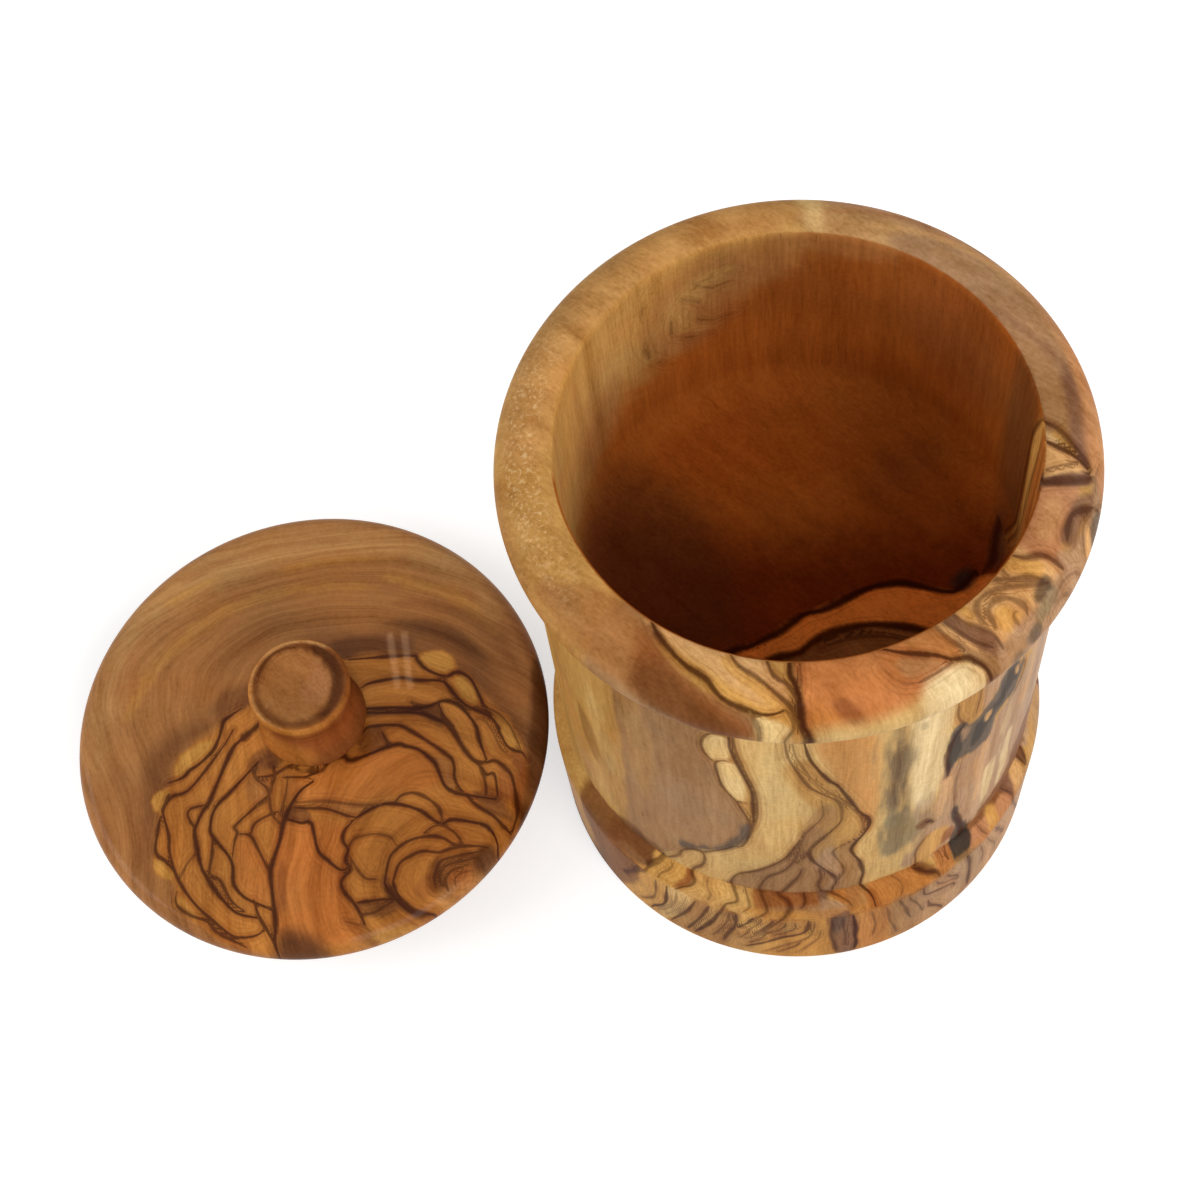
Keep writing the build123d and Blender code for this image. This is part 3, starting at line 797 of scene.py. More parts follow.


# ---------------------------------------------------------------------------------------------
# Figure of the bowl, with painted shade under the crease. Outside: degrees round the axis, and mm down the outline
# from the mouth's edge.

# painted shade: a dark strip just under the crease on the front right
BOWL_PATCHES = read_patches("""
# collar and waist on the left: tan, then brown-mauve heartwood
tan 3: -182,8 -150,6 -128,8 -128,60 -131,108 -140,145 -182,145
olive 2.5 .9 1: -182,26 -160,22 -146,24 -139,60 -136,88 -142,112 -182,112
brown 3 .5 1: -200,11 -150,11 -136,13 -134,17 -142,23 -200,23
brown 1 .35 1: -158,26 -153,40 -150,70 -146,100 -150,108 -156,80 -160,44
umber 1 .5 1: -148,60 -144,64 -142,74 -143,84 -147,80 -149,70
gold 1.2 .5 1: -142,40 -138,50 -137,74 -140,80 -143,60
mauve 1 1 1: -134,0 -127,0 -122,1.6 -115,4.4 -108,6 -104,8.2 -100,9.6 -99,12 -98.6,24 -99,27 -105.5,27 -111,30
 -111.5,38 -109.3,42 -108.4,50 -105,58 -102.5,66 -101.6,72 -103,79 -106,83.5 -110.5,88.5 -115.5,92.5 -119.5,98
 -125.5,110 -128.5,117 -133,125 -136,132 -142,142 -150,142 -146,118 -137,108 -135,92 -133,70 -133,40 -134,16
brown 1.6 .8: -136,0 -112,6.2 -104,9.5 -101,14 -106,17 -120,13 -134,12 -150,10
russet 2 .7 .6: -126,1.6 -114,5.6 -100.5,11 -100,15 -106,18 -114,14 -124,8
umber 2 .85 .8: -122,6 -112,8.4 -104,11.6 -101,15 -106,19 -116,16 -124,12
tan 1.2 .35 1: -131,30 -127,26 -124,40 -125,66 -128,78 -131,60
lilac 3 .3 1: -122,60 -112,56 -105,66 -104,76 -108,84 -118,90 -124,84
slate .7 .85 1: -103.6,70 -101.4,69 -101.4,73 -102.6,79 -105,84 -109,88.6 -113.4,92.4 -118.4,94.6 -118.6,91.6
 -112.6,88 -109.4,84.6 -106.6,79.6 -104.6,75
umber 1.2 .75 1: -136,102 -128,102 -124.6,105 -126.5,111 -129.5,118 -134,126 -139,122 -141,108
chocolate .9 .6 1: -134,104 -130,103.6 -127.4,107 -130,115 -134,110
# gold sapwood in front
gold .9: -101,24 -60,24 -57,28 -58,45 -58,62 -60,76 -62,80 -62,108 -76,108 -78,84 -75,72 -80,58 -85,46 -89,35 -95,40
 -91,52 -88,60 -89,68 -93,82 -98,92 -105,98 -107,107 -112,108 -125,108 -121,100 -116,93 -107,86 -102,77 -100,66
 -100,52 -102,40
pale 2.2 .5: -97,26 -93,50 -90,62 -94,78 -99,78 -99,60 -100,40
cream 1.2: -67.5,24 -59.5,24 -58.5,50 -59,66 -62,76 -66,68 -67.5,50
gold 1: -76,84 -70,92 -64,96 -62,108 -76,108
orange 1.4 .55: -76.5,26 -74.5,40 -74,66 -76,76 -79,60 -84,44 -88,30 -86,26
# pale cells in the heartwood
pale .5: -105.6,29.5 -109,28.8 -110.8,32 -111.2,35.5 -109.6,40 -107.6,39.6 -105.6,37.6
pale .5: -104.9,39.6 -107.8,41 -108.4,44 -107.8,49 -106.8,53.5 -104.6,57.2 -103,57 -102.5,50 -103.3,44
gold .6: -113.6,93 -115.4,93.4 -118.4,97 -124,110 -120.5,110 -116.5,104 -114.4,99
# brown fan in the middle of the waist
mauve .6 .95 .6: -89.5,70 -91.5,78 -93.4,83 -97.2,90.4 -100.8,94.6 -104.8,98.4 -106.6,102.4 -107,107.5 -83,107.5
 -82,98 -88,86 -88.6,79 -86.4,73 -88,68
mauve .8 .5: -97.6,92 -92.4,86 -91,92 -92.6,100 -95,107 -104,107 -102,100
mauve .8 .6: -89.6,66 -86.6,58 -84,58 -82.6,64 -84.6,71 -88,76 -90.5,76
mauve 1.2 .45 .8: -87,70 -83,78 -84,88 -80,98 -80,107 -98,107 -94,92 -90,80
lilac .8 .8: -84,80 -81,96 -82,107 -86,107 -84,98 -87.6,90
mauve .5 .75: -77,77 -78.8,80 -79.6,83.7 -78.8,87.3 -77.6,91 -76.8,95 -76.4,99.4 -76.8,106 -82.6,106 -82.2,102.5
 -81,98.9 -80.4,95 -81,91 -82.2,87.4 -83,84 -82,81.2 -80,79.2
# grey stain, torn lengthwise
stain 1.8 .5 3.2: -73.6,29 -74,50 -73.6,66 -72.8,80 -71.6,90 -69.6,94 -68,87 -67,76 -66.2,66 -66,50 -67,38 -69,29
slate 1.1 .6 2.2: -71.8,35 -72.2,50 -72,68 -70.4,74 -68.6,68 -68.2,54 -68.6,42 -70,34
stain 1.6 .8 2.2: -72.6,71 -68,70 -65.4,73 -63.4,77 -60.4,79.4 -59,83 -61,87 -64.4,91 -68,94 -71.4,91 -72.8,82
lilac 1.6 .55 2.4: -66,74 -60,68 -57,78 -58,94 -64,94 -62,84
umber .6 .8 .6: -63.6,82.8 -61,82.2 -59.8,84.4 -61.2,86.6 -63.2,85.8
stain .5 .4: -66.2,30.6 -64.8,30.6 -64.4,33 -65.8,33.6
# right of the waist: pinkish brown, pale and dark streaks and the knot
lilac 1.2 1 1.6: -58,60 -50,60 -43,52 -36,47 -34,38 -40,32 -48,42 -50,36 -50,24 -4,24 -7,50 -3,80 -6,108 -62,108
 -62,92 -59,84 -59,70
flesh 1 .45 2.4: -57.4,62 -54,60 -54.4,74 -56.4,86 -58.6,80
mauve .8 .5 2.4: -51.6,62 -48.6,60 -49,80 -50.4,96 -52,84
flesh .8 .45 2.4: -47.4,60 -44.4,56 -45,78 -46.6,92 -48,76
mauve .6 .5 1.8: -44,56 -42.4,54 -42.4,68 -43.4,78 -44.6,70
cream .9 .75 1.6: -43.6,79 -41,78 -40.2,88 -40.4,97 -42.6,99 -44,90
cream .9 .75 1.6: -37.8,74 -35.2,73 -34.4,84 -34.8,97 -37.2,99 -38.2,88
cream .7 .4 2: -39.8,54 -38.4,52 -38,70 -39.4,80 -40.4,68
mauve .8 .5 2: -36.4,48 -34.6,44 -33.4,60 -34.4,72 -36,66
flesh .8 .45 2: -32.6,42 -30,38 -29.4,60 -31,80 -32.6,70
plum .9 .4 2: -28.6,34 -26,30 -25,60 -26,82 -28.6,74
umber 1.4 .85 2: -31,90 -24,83 -14,79 -8,82 -5,90 -9,100 -11,108 -47,108 -45,104 -33,98.6
tan .5 .9 .4: -57.8,24 -51.4,24 -50.8,43 -53,43 -55.8,40.6 -57.2,36
brown .5 .4 .8: -56,26 -54.4,26 -54,35 -55.4,35
slate .7 .95 1.2: -57.2,41 -54.4,42.2 -51.4,45 -48.4,43.4 -46.2,40.4 -44.6,35.4 -42.2,32.8 -39.4,35 -36.4,43 -37.4,47
 -39.6,50.4 -43,51.4 -44.2,55 -45.2,60.4 -49.6,61.4 -54.6,59.6 -57.4,64.6 -58.4,56 -58.4,48
soot .9 .75 1.4: -42.6,35.6 -39.6,37.6 -38.4,42 -41,46.4 -45.4,50.4 -48.6,56 -52,56.6 -51,49 -46.4,46 -44,41
soot .7 .7 1: -58,45 -56,43 -54.8,47 -54.8,54 -56.8,62 -58.2,56
lilac .5 .7 .8: -54.8,45 -53,45 -52.8,48 -54.2,50.6
flesh .4 .8 .5: -48.2,47 -46.8,46.4 -46.4,49 -47.8,50
flesh .35 .8 .5: -40.2,37.4 -38.8,38 -38.6,41.4 -39.8,41
straw .8 .8 .6: -60.6,92.6 -56.6,92.4 -54.2,96 -55,100 -57,106 -62.4,107 -62.8,99
russet .6 .8 .6: -54.4,97 -52,97.4 -51.2,101 -53,104 -55.4,103
soot .5 .85 .8: -53.4,87 -52.2,87 -50.8,96 -48.6,101 -47.4,108 -52.4,108 -52.4,100 -53,94
mauve 1.6 .6 1: -48,24 -20,24 -20,32 -30,30 -40,27
# collar in front
flesh .5: -128,0 -123,1 -117,3.1 -110,4.8 -105,7.7 -99,8.9 -95.4,8.6 -93.5,7 -94.5,3.5 -98.6,0 -98,-1
pearl 1 .8: -122,2 -112,3.4 -104,5.6 -99,7.6 -95.6,8 -97,9.6 -104,8.6 -112,6.4 -120,3.6
straw .6 .8: -106.6,0 -104,2 -99.4,3.6 -94.2,6.9 -90.6,12 -90.4,18 -93.4,24 -98,24 -99.4,16 -98.8,12 -100,9.4 -96,8.8
 -99,6.5 -108,2
pale .6: -99.6,10.4 -97.8,10 -95,10.6 -92.8,12.4 -93,18 -94,25 -98.4,25 -99,15
tan .4: -98.4,0 -96.4,2.4 -94,3.8 -92.6,5.6 -91.7,8 -91.6,5 -93.6,0
chocolate .5 .55: -93.6,0 -91,0 -90.8,6 -89.6,14 -91,14 -92,5
salmon .7: -91,-1 -72.5,-1 -61,6 -61,8 -80,14 -89.4,14 -90.8,6
russet .7 .8: -84.9,7.2 -83,6.8 -81.2,8 -79.9,9.6 -79.2,11.4 -80.2,12.6 -82.2,12 -84.2,10 -85.4,8.2
orange 1 .8: -89,7 -85.6,8 -84,11 -82,14 -88.6,14
gold 2.4: -89.4,13 -78,12 -66,10 -58,8 -55.6,12 -55,24 -89,24
cream 1.4: -68,9 -60,7.6 -57,9.6 -56,14 -56,24 -68,24
mauve .8 .6: -71,3 -66.4,3.4 -63,5.4 -64,6.6 -68.6,6.6 -71,5
salmon .6 .8: -72,-1 -66,2.4 -61,5.6 -58.4,6.8 -59.6,-1
mauve .6: -57.6,-1 -54.4,2 -52.8,5.6 -51,8.6 -51,16 -53,24 -56,20 -55.6,12 -58,7.6 -58.4,4
# collar on the right: nested orange cells, a dark V, then pinkish brown
flesh .5: -58.4,-1 -30.8,-1 -30.8,9 -51,9.4 -54.6,8 -57,5
plum .5 .9: -57.8,-1 -54.6,-1 -54.2,2.2 -52,4.8 -50.8,7 -50.4,11 -53,10 -55.4,6.6 -57,3
straw .5 .7: -54,-1 -51.4,-1 -51.4,2.4 -53,2.6
straw .5 .8: -49.2,6 -48.6,4.4 -46.8,3.8 -45,4.8 -44,6.6 -44.2,8.4 -47.8,8.6 -49,7.6
straw .5 .8: -38.8,-.6 -35.4,-1 -34.4,2 -33,4.6 -35.4,6.2 -37.6,4
rose: -31,-1 -15,-1 -13,5 -15.6,6.4 -25,5.8 -31,7.6
flesh 1.2 .4: -28,2 -20,1 -19,3.6 -27,4.4
lilac 1.2 1 .5: -50.6,9 -31,8.4 -29,12 -31,24 -54,24 -51.4,16
mauve .8 .6 .6: -50.4,10 -46.4,10 -46,13 -49,17 -51.4,15
slate .7 .8 .5: -45.2,11.6 -43,10.6 -41.2,12 -42.4,15 -45,14.2
slate .9 .55 .8: -48,13 -45.6,16 -38,24 -43.4,24 -47.4,20 -49.4,15
stain .7 .7 .5: -41.4,9 -37,8.2 -34.8,9 -37,11.4 -41.4,12
soot .5 .75 .4: -39.8,7 -37,6 -34.8,6.4 -34.8,8 -38,8.8 -40.4,8.4
lilac .9 .9: -31,7.4 -26,8 -18,9.6 -12,9 -8,10 -8,24 -33,24
plum .8 .85: -26.4,5.6 -20,5.4 -16,6.4 -13.4,9.4 -17,9.8 -20,8.6 -25.6,8.8
flesh .5 .9: -25,13 -23.2,10.6 -20.6,9.6 -20.4,10.8 -22,12.4 -22.8,14.8
slate .6 .8: -22,14.4 -20.8,11.4 -18,10.7 -15.2,12.4 -14.6,16 -16.8,19 -20,17.6
flesh .7 .75: -22.6,16.6 -20,18.8 -12,22.6 -14,24 -19,22 -22.8,19
plum .4 .95: -15.8,-1 -12.6,-1 -11,4 -9.4,7.6 -11.6,8.8 -13.6,6 -14.8,3
flesh .4: -12.6,-1 -3.2,-1 -7,4.6 -9.4,7.2 -11,4
mauve: 3.4,-1 60,-1 60,5 30,7 -8,7.8 -4,4.6 0,2.8
cream .3 .6: -3,-1 -1,-1 -4.2,2.4 -5,2.4
umber .4 .75: 1.4,-1 3.8,-1 0,2.8 -3,4.6 -7,7.8 -9.2,8.6 -7.6,6 -1,1.8
plum .8 .85: -6,4.6 2,4 12,4.4 14,7 -6,7.4 -8.4,7.8
rose 1.2 .8: -8,8 12,7.2 40,7.6 60,5.6 80,8 80,24 -8,24
lilac 1.6 .45 .6: 16,-1 82,-1 80,9 50,10 20,9
mauve .7 .6 .4: 30,6.6 44,3.4 60,1 62,1.8 46,4.8 32,7.8
flesh .7 .5 .4: 38,8.6 54,5 72,2 73,3 40,9.6
brown .7 .55 .4: 56,8.6 80,4 80,5.2 58,9.4
plum .7 .5 .4: 14,5 26,1.4 34,-.6 36,.4 26,3 16,6.4
rose 3 .25 .6: 96,-1 176,-1 176,10 96,10
pale .7 .6: 81,-1 84,-1 88,10 84,10 82,4
brown 1.2 .35: 92,1 110,1.6 112,4 94,3
# shoulder and side of the foot
umber 1.2 .9 1.2: -148,106 -125.6,106 -126.4,110 -128.4,113.6 -129.6,118 -150,118 -152,112
mauve .8 .3: -136,112.6 -129,113 -129.6,117 -138,117
straw .6: -125.4,107 -101.6,107 -101,111 -101.6,115 -104,117 -129,117 -127,112.6
gold .8 .5: -116,107.4 -104,107.4 -102,111 -103,116 -116,116.6
russet .5 .85: -118.8,107.4 -116.8,108.2 -116.2,110.6 -118,113.6 -121,116.6 -120,113 -118.8,110.6
russet .6 .85: -101.6,107 -93.6,107 -93,117 -100,117 -101.4,113
russet .6 .85: -93.4,107 -86.6,107 -86.4,112 -93,112.6
mauve .8 .75: -99,113 -86.4,111.6 -86,117 -98,117
plum .5 .95: -86.8,106 -84.2,106 -84.6,110.6 -86,112.2
lilac .7 .85: -86,110.4 -81.6,111.4 -79.6,114 -80.6,117 -86,117
orange .6 .85: -84.4,107 -78,107 -76.4,110 -78.4,113 -82,110.8
brown .7 .8: -80,107 -77,107 -74.6,112 -74,117 -79,117 -79.4,112
orange .7 .9: -74.4,107 -64,107 -60,111 -57.6,117 -73,117
umber .6 .85: -63.6,107 -60.4,108.4 -58.2,111 -56.8,115.4 -58.6,115.4 -61.4,111.8
salmon .6 .8: -57,107 -52,107 -52.8,112 -53,117 -56.8,117
rose: -46.4,107 -30,107 -25,110 -30,117 -48,117
umber .6 .85: -46.6,107 -29,107 -30.6,109.8 -46,109.6
straw .6 .8: -40.6,109.4 -38,109.4 -37.6,116.4 -40.8,116.4
plum .6 .85: -34.4,108 -29,108.6 -30.6,114.4 -32.4,112
flesh .6: -29.2,108.8 -25.4,108.2 -25,112 -26,116.4 -29.6,116.4
umber .4 .8: -24.6,107.6 -21,107.6 -22.8,114.4
soot .45 .95: -52.8,106.6 -50.4,107 -49.4,107.8 -48.4,107 -46.8,108 -46.4,110.8 -48.8,115.6 -51.6,115.8 -52.8,113
amber .6 .4: -146,117 -14,117 -6,146 -150,146
pearl 1.6 .4 1.2: -112,117 -84,117 -84,146 -122,146
gold 1.6 .5 1.2: -122,117 -100,117 -104,146 -130,146
umber 1.4 .75 1.6: -149,117 -129.4,117 -130,124 -132.4,131 -140,146 -152,146 -148,134 -151,126
straw .6 .85: -129.2,117 -116,117 -118,127 -121.6,136 -124,146 -139,146 -132,131
pale .6 .7: -122,117.4 -116,117.4 -118,127 -121.6,136 -125,143 -126.6,138 -123.4,128
russet .4 .36: -115.6,117.4 -112,117.4 -115.6,133 -119,143 -124,143 -120.4,136 -117.6,127
russet .6 .32: -109,117.4 -104.8,117.4 -105.4,124 -110,143 -119,143 -115,137 -112.4,130
umber .5 .55: -107.2,117.6 -105,117.6 -105.2,124 -106.6,130 -108,130 -106.6,124
straw .8 .5: -104.4,118 -98,118 -100.4,126 -104.4,131 -105,125
russet .5 .36: -96.8,117.4 -88.8,117.4 -88.9,125 -92,127.6 -95,129.4 -99.6,134.6 -103,137.6 -101.6,133 -98,129
 -99.4,126 -98,121
tan .7 .7: -94.6,118.6 -91.6,118.6 -91.4,123 -93.6,126 -95.4,124
russet 1.4 .3: -108,134 -104,128 -100,130 -100,136 -104,143 -112,143
plum .7 .85: -83.8,117 -78.6,117 -77.6,143 -81.6,143 -83.4,132 -83.8,124
slate .6 .6: -83.4,118 -80.4,118 -80.8,124 -82.6,128
orange 1.2 .5: -76.6,117 -70,117 -69,130 -70,143 -77,143
mauve 1 .7: -69.6,117 -64.6,117 -64,128 -62,143 -68,143 -69,130
umber .9 .5: -63.6,117 -60,117 -58.6,122 -55.4,126 -52,129.6 -53,133 -62,124
stain 1 .45: -53.6,117 -45,117 -41,143 -53,143 -51,130
lilac 1.6 .65: -64,119 -40,117 -8,117 -2,128 -6,143 -40,146 -60,144
""")

BOWL_VEINS = read_veins("""
# collar in front
.5: -128,-1 -122.2,1.8 -114.9,4.2 -110.2,5.2 -107.6,6.8 -105,8 -98.8,9.3 -96.1,9.1 -94.4,8.4
.45 .6: -100.6,9 -98.6,13.4 -99.4,24.5
.4 .7: -107.4,-.8 -104.5,1.6 -99.3,3.6 -94.1,6.8 -92.5,8.6 -90.9,12.6 -90.4,16 -90.9,27
.34 .7: -98.8,-.6 -97.4,1.8 -96.1,3 -94.1,3.9 -92.5,5.5 -91.8,7
.62 .9: -93.6,-.8 -93.3,2.3 -92.2,4.1 -91.5,6.4 -90.9,10.9 -89.9,13.2 -89.5,16 -90,20 -90.2,27
.3 .5: -91.3,-.6 -91.1,2.7 -91.2,5.2
.3 .55: -94.1,8 -92.4,11.4 -94,16 -94.4,27
.46: -73.2,-.4 -69.6,1.6 -63.3,4.5 -60.7,6.4 -58.1,7.3 -57,8.4 -55.4,11 -54.4,16
.3 .55: -68.5,7.5 -65.4,7.3 -62.3,7 -60.4,6.8
.2 .3: -74.3,3.2 -72.7,5.5 -71.1,6.8 -68.5,7.5
.46 .5: -59.8,-.6 -59.2,3 -57.6,6
.4 .5: -57.8,-.6 -56.8,2.6 -55,5.8 -52.4,8.6
.4 .5: -54.8,-.8 -54.2,2.2 -52,4.8 -51,6.8 -50.8,10
.55 .55: -51.2,4.8 -50.6,2.2 -48.6,.9 -45.6,1 -43,2 -40,4 -35.4,7.6
.55 .55: -49.8,6.2 -49,3.6 -47,2.7 -44.6,3.2 -43,5 -42.4,6.8 -43,8.4
.3 .45: -45.6,8.8 -45.6,6.8 -44.2,6.4
.6 .6: -43,-.6 -40,2.2 -37.6,4.2 -35.8,6.4
.34 .5: -39.8,2 -39.3,.4 -38.2,-.8
.55 .65: -34.9,-.8 -34,2 -32,3.6 -31.2,5.2 -31,8.6
.6 .65: -25.8,6.9 -23,6 -20,6.2 -18.4,7.4 -16.6,9.6 -15.4,12
.9 .6: -14.9,-.8 -13.6,3 -12.2,6 -10.6,8.3
.3 .5: -11.2,0 -9.8,2.6 -8.8,5
.5: -3,-1 -5,1.4 -6.2,3.2 -7.8,5.8 -9.4,7.8
.5 .6: 2.2,-1 -.8,2 -4.2,4 -6.4,6 -8.6,8
.34 .35: -25.4,13.6 -24,10.6 -21,9 -18,9.6 -14.6,11.6 -13.6,15 -15.4,19.4
.34 .35: -23.4,15.6 -21,19.4 -17,21.6 -12,23.6
.3 .3: -13,10 -10,9.4 -6,10.6
.34 .3: -37,11 -33,10 -29,12 -28,17
.34 .3: -40,14 -37,12 -33.6,12.6 -32,17 -33,23
# waist, left of the gold band
.34 .6: -105.2,27 -109.5,28.6 -111.1,32 -111.5,35.4 -110.7,38.7 -109.3,41
.4 .8: -105.2,24 -105.4,30 -105,35 -101.8,48.7 -101.1,54 -101,65 -101.4,70
.28 .6: -104.6,24 -104.3,32 -103.4,38.4 -101,49 -100.3,55 -100.1,62 -100.5,67 -101.2,70
.32 .7: -104.6,38.4 -106.4,39.2 -108.2,40.4 -108.8,42.3 -107.8,50.9 -106.6,54.4 -104.8,57.6 -103,58
.36 .6: -104.8,57.6 -101.8,68.4 -101.6,72 -103.7,81.6 -106.2,83.4
.42 .6: -106.2,83.4 -107.8,85.9 -113.2,91.8 -115.2,92.3 -117.7,94.6 -119.3,97.5 -120.6,101.6 -124.6,108 -125.6,110.4
 -127.8,114 -128.8,117 -130.7,120 -132,123 -134.2,127 -136,132
.42 .65: -113.4,92.6 -113.2,96 -114,100.1 -116,104 -117.2,108 -116,110.4 -116.8,112.4 -118.7,114.2 -120.2,116.4
# waist, the wavy lines in the middle
.34 .6: -94.3,24 -93.9,31 -93,36 -89.7,46.6 -87.6,50.3 -82.9,56.8 -82,64.4 -82.7,68.7 -86.8,75.9 -88.4,79.4 -91.4,89
.26 .45: -93,24 -92.2,32.3 -91,37 -89.4,42 -87.4,47 -84.6,52
.42: -90.6,24 -90,30 -88.8,36 -85.3,45.1 -82.9,49.4 -78.2,63.7 -76.2,68 -75.7,72.3 -76.9,76.6 -78.5,80.1 -79.4,83.7
 -78.6,87.3 -77.4,90.9 -76.6,95.1 -76.1,99.4 -76.5,103.7 -76.4,107.4 -74.7,110.2 -73.9,112.4 -73.4,116
.26 .5: -86.8,48.7 -83.7,53 -81.7,57 -78.4,65 -77.3,69 -77,73 -78.4,77
.24 .45: -86.6,55 -86.1,61 -86.5,64.6 -89.4,71.2 -90.4,76 -91.6,80 -95.6,88 -98,91.6
.4 .75: -82.4,68 -87.7,78.9 -88.8,82.5 -88.4,86 -87.1,89.6 -83.2,97.3 -82.4,101 -83.2,106
.3 .55: -78.6,77.6 -82.4,81.2 -83.5,84 -81.5,91 -80.8,95.1 -81.5,98.9 -82.7,102.5 -83.4,107 -82,109.4 -80,111.2
 -78.6,114
.36 .65: -90,71 -91.5,77.5 -94.6,86.6 -100.6,94.6 -104.6,98.2 -106.6,102.4 -107,107 -105.6,110.6 -105.4,112.4
 -107,113.6 -108.1,115 -110.1,122.7 -116,140.4
.36 .55: -90.6,78 -92.4,88 -94.9,93.7 -98,97.4 -99.7,102.4 -100.3,107 -98.3,113.1 -99.2,115.6 -100.8,118 -101.6,121
 -103.3,124 -104.3,126.6
.44 .6: -90.4,92 -91.4,97 -94.4,105 -96,108 -93.8,110 -93.1,111.8 -93.7,114.4 -101,130 -103.6,134
.34 .6: -86.6,92 -86,97 -86.6,102 -85.6,106.4 -84.3,107.9 -81.9,109.4 -79.6,111.6
# stain, knot and right side of the waist
.4 .3: -70.6,40 -70.2,48 -70.8,56 -70,66
.3 .5: -57.4,30 -57,36 -55.8,40 -54.4,42.6
.26 .45: -51.6,30 -51.4,36 -51.8,41.8
.5 .7: -54.4,42 -57,46 -58.1,52 -57.9,57 -57.2,61.4 -57,65
.34 .4: -53.4,60 -54,67 -54.2,74 -53.6,82 -52.9,89 -50.5,98 -48.8,108
.75 .75: -52.8,89 -51.6,93.8 -50.5,98 -49.6,103.6 -49,108
.28 .6: -60,92 -62.1,95.9 -63,99.4 -62.7,103.7 -62.4,108
.5 .7: -61.4,83.6 -60,84.6 -59,87
.4 .45: -37,38.6 -35.8,43 -36.6,48 -39,52.6
# foot: shoulder and side
.5 .65: -63.4,108.5 -61.8,109.8 -60.4,111.4 -58.5,112.8 -57.3,114.4 -57,116.4
.26 .6: -53.8,107.4 -54.3,110.2 -53.9,112.6
.2 .4: -56.2,107.4 -55.4,110 -55.8,112.6
.46 .55: -33.4,108.8 -31.2,114.4 -31.2,117.4 -30,121 -23,139
.3 .55: -24.6,107.6 -23.8,111 -22.9,114.4 -21.4,107.8
.5 .7: -124.6,105 -125.4,108.6 -127.4,112 -128.2,115.6
.34 .59: -125.6,117.6 -126.4,127 -127.4,132 -129.6,136.4 -132.4,141
.38: -122.6,117.6 -123.3,126 -124,130.6 -125.4,134.6 -127.8,139 -129,142
.4 .78: -115.2,118 -117.9,128 -123,141.4
.4 .78: -111.9,118 -114,127 -118.4,141
.5 .91: -108.9,118 -111.8,128.6 -116.4,141
.44 .72: -105.4,118 -105.8,126 -108,134 -109,139
: -101.2,117.6 -102.4,121.4 -104.2,125 -105,127
.4 .72: -96.8,118 -98,122 -99.8,126 -101.6,129.4
.5 .78: -88.9,117.6 -89,122.7 -90,126 -92.4,128 -94.8,129.4 -99.4,134.8 -103.4,139
.34 .59: -90.4,131.4 -91.4,134.6 -93.4,137.4 -96,140.4
.4 .65: -83.6,117.6 -83.4,123 -83.6,129 -82.8,135 -82,142
.3 .52: -81,118 -80.8,124 -80.2,130 -80,138
.5 .95: -78.7,117.6 -77.8,127 -77.8,132 -77.4,137 -77.6,142
.4 .59: -67.6,117.6 -66.6,121.4 -65.6,125.2 -64.7,129.8 -63.7,134
.34 .65: -61.3,117.6 -60.9,121.8 -59.4,123.7 -55,126.2 -52,128.7 -51.3,131.4
.46 .72: -59.4,128.6 -58.5,132.7 -57,135.3 -55.1,138.7 -54.2,141.4
.3 .59: -54.7,118.6 -53.6,121.4 -51.8,123.7 -50.5,127
.5 .72: -48.9,116.4 -47.2,124.5 -46,140
.3 .45: -44.4,118 -43.4,122 -42.2,127 -41.8,133
.5 .52: -38.9,117.6 -36.9,122.7 -35.5,125.8 -34.1,129.5 -32.2,134
.5 .7: -131,117.6 -132.4,122 -134.4,127 -137,132
.24 .45: -120,118 -120.6,124 -122,130 -124.4,136 -127,141
.22 .4: -117.4,117.6 -118.4,123 -120,129 -122.4,135 -124.6,140
.3 .6: -107,118 -107.6,124 -109.4,131 -111.6,138
.34 .6: -99.4,118 -100.4,122 -102.4,126.4 -103,129.6 -105,134
.3 .6: -94,119 -94.4,122 -96,125 -98.6,128 -100,132 -103,136
.3 .55: -92,119 -91.8,122.6 -94,125.6 -97,128.6
.3 .5: -87.6,118 -87.6,123 -88.4,128 -90,131 -93,133.6 -96,137 -99,141
.26 .45: -86,125 -86.4,130 -88.6,135 -91,140
.3 .5: -74.4,118 -73.6,123 -73,129 -73.4,136
.3 .5: -71,117.6 -70,123 -69.4,129 -68,135 -67,140
.3 .55: -65,117.6 -64.4,121 -62.8,125 -61.6,129 -60.4,134
.3 .5: -58,117.6 -57,120.6 -55,123 -52.6,125 -50.6,128
.3 .4: -42,117.6 -40.6,122 -38.6,127 -36.6,132 -35.6,138
.26 .45: -122,107.6 -122.6,110.6 -124.4,113.4 -125,116
.22 .4: -113,107.6 -112.8,110.6 -111.6,112.6 -112.4,115.4
.3 .5: -104,107.6 -103,110.4 -102.4,113.4 -104,116
.34 .6: -90,107.6 -89.6,110.4 -90.4,112.4
.24 .4: -69,107.6 -67,110.4 -66.6,113 -67.4,116
.3 .4: -44,109.8 -43.4,112.6 -42,116
""")
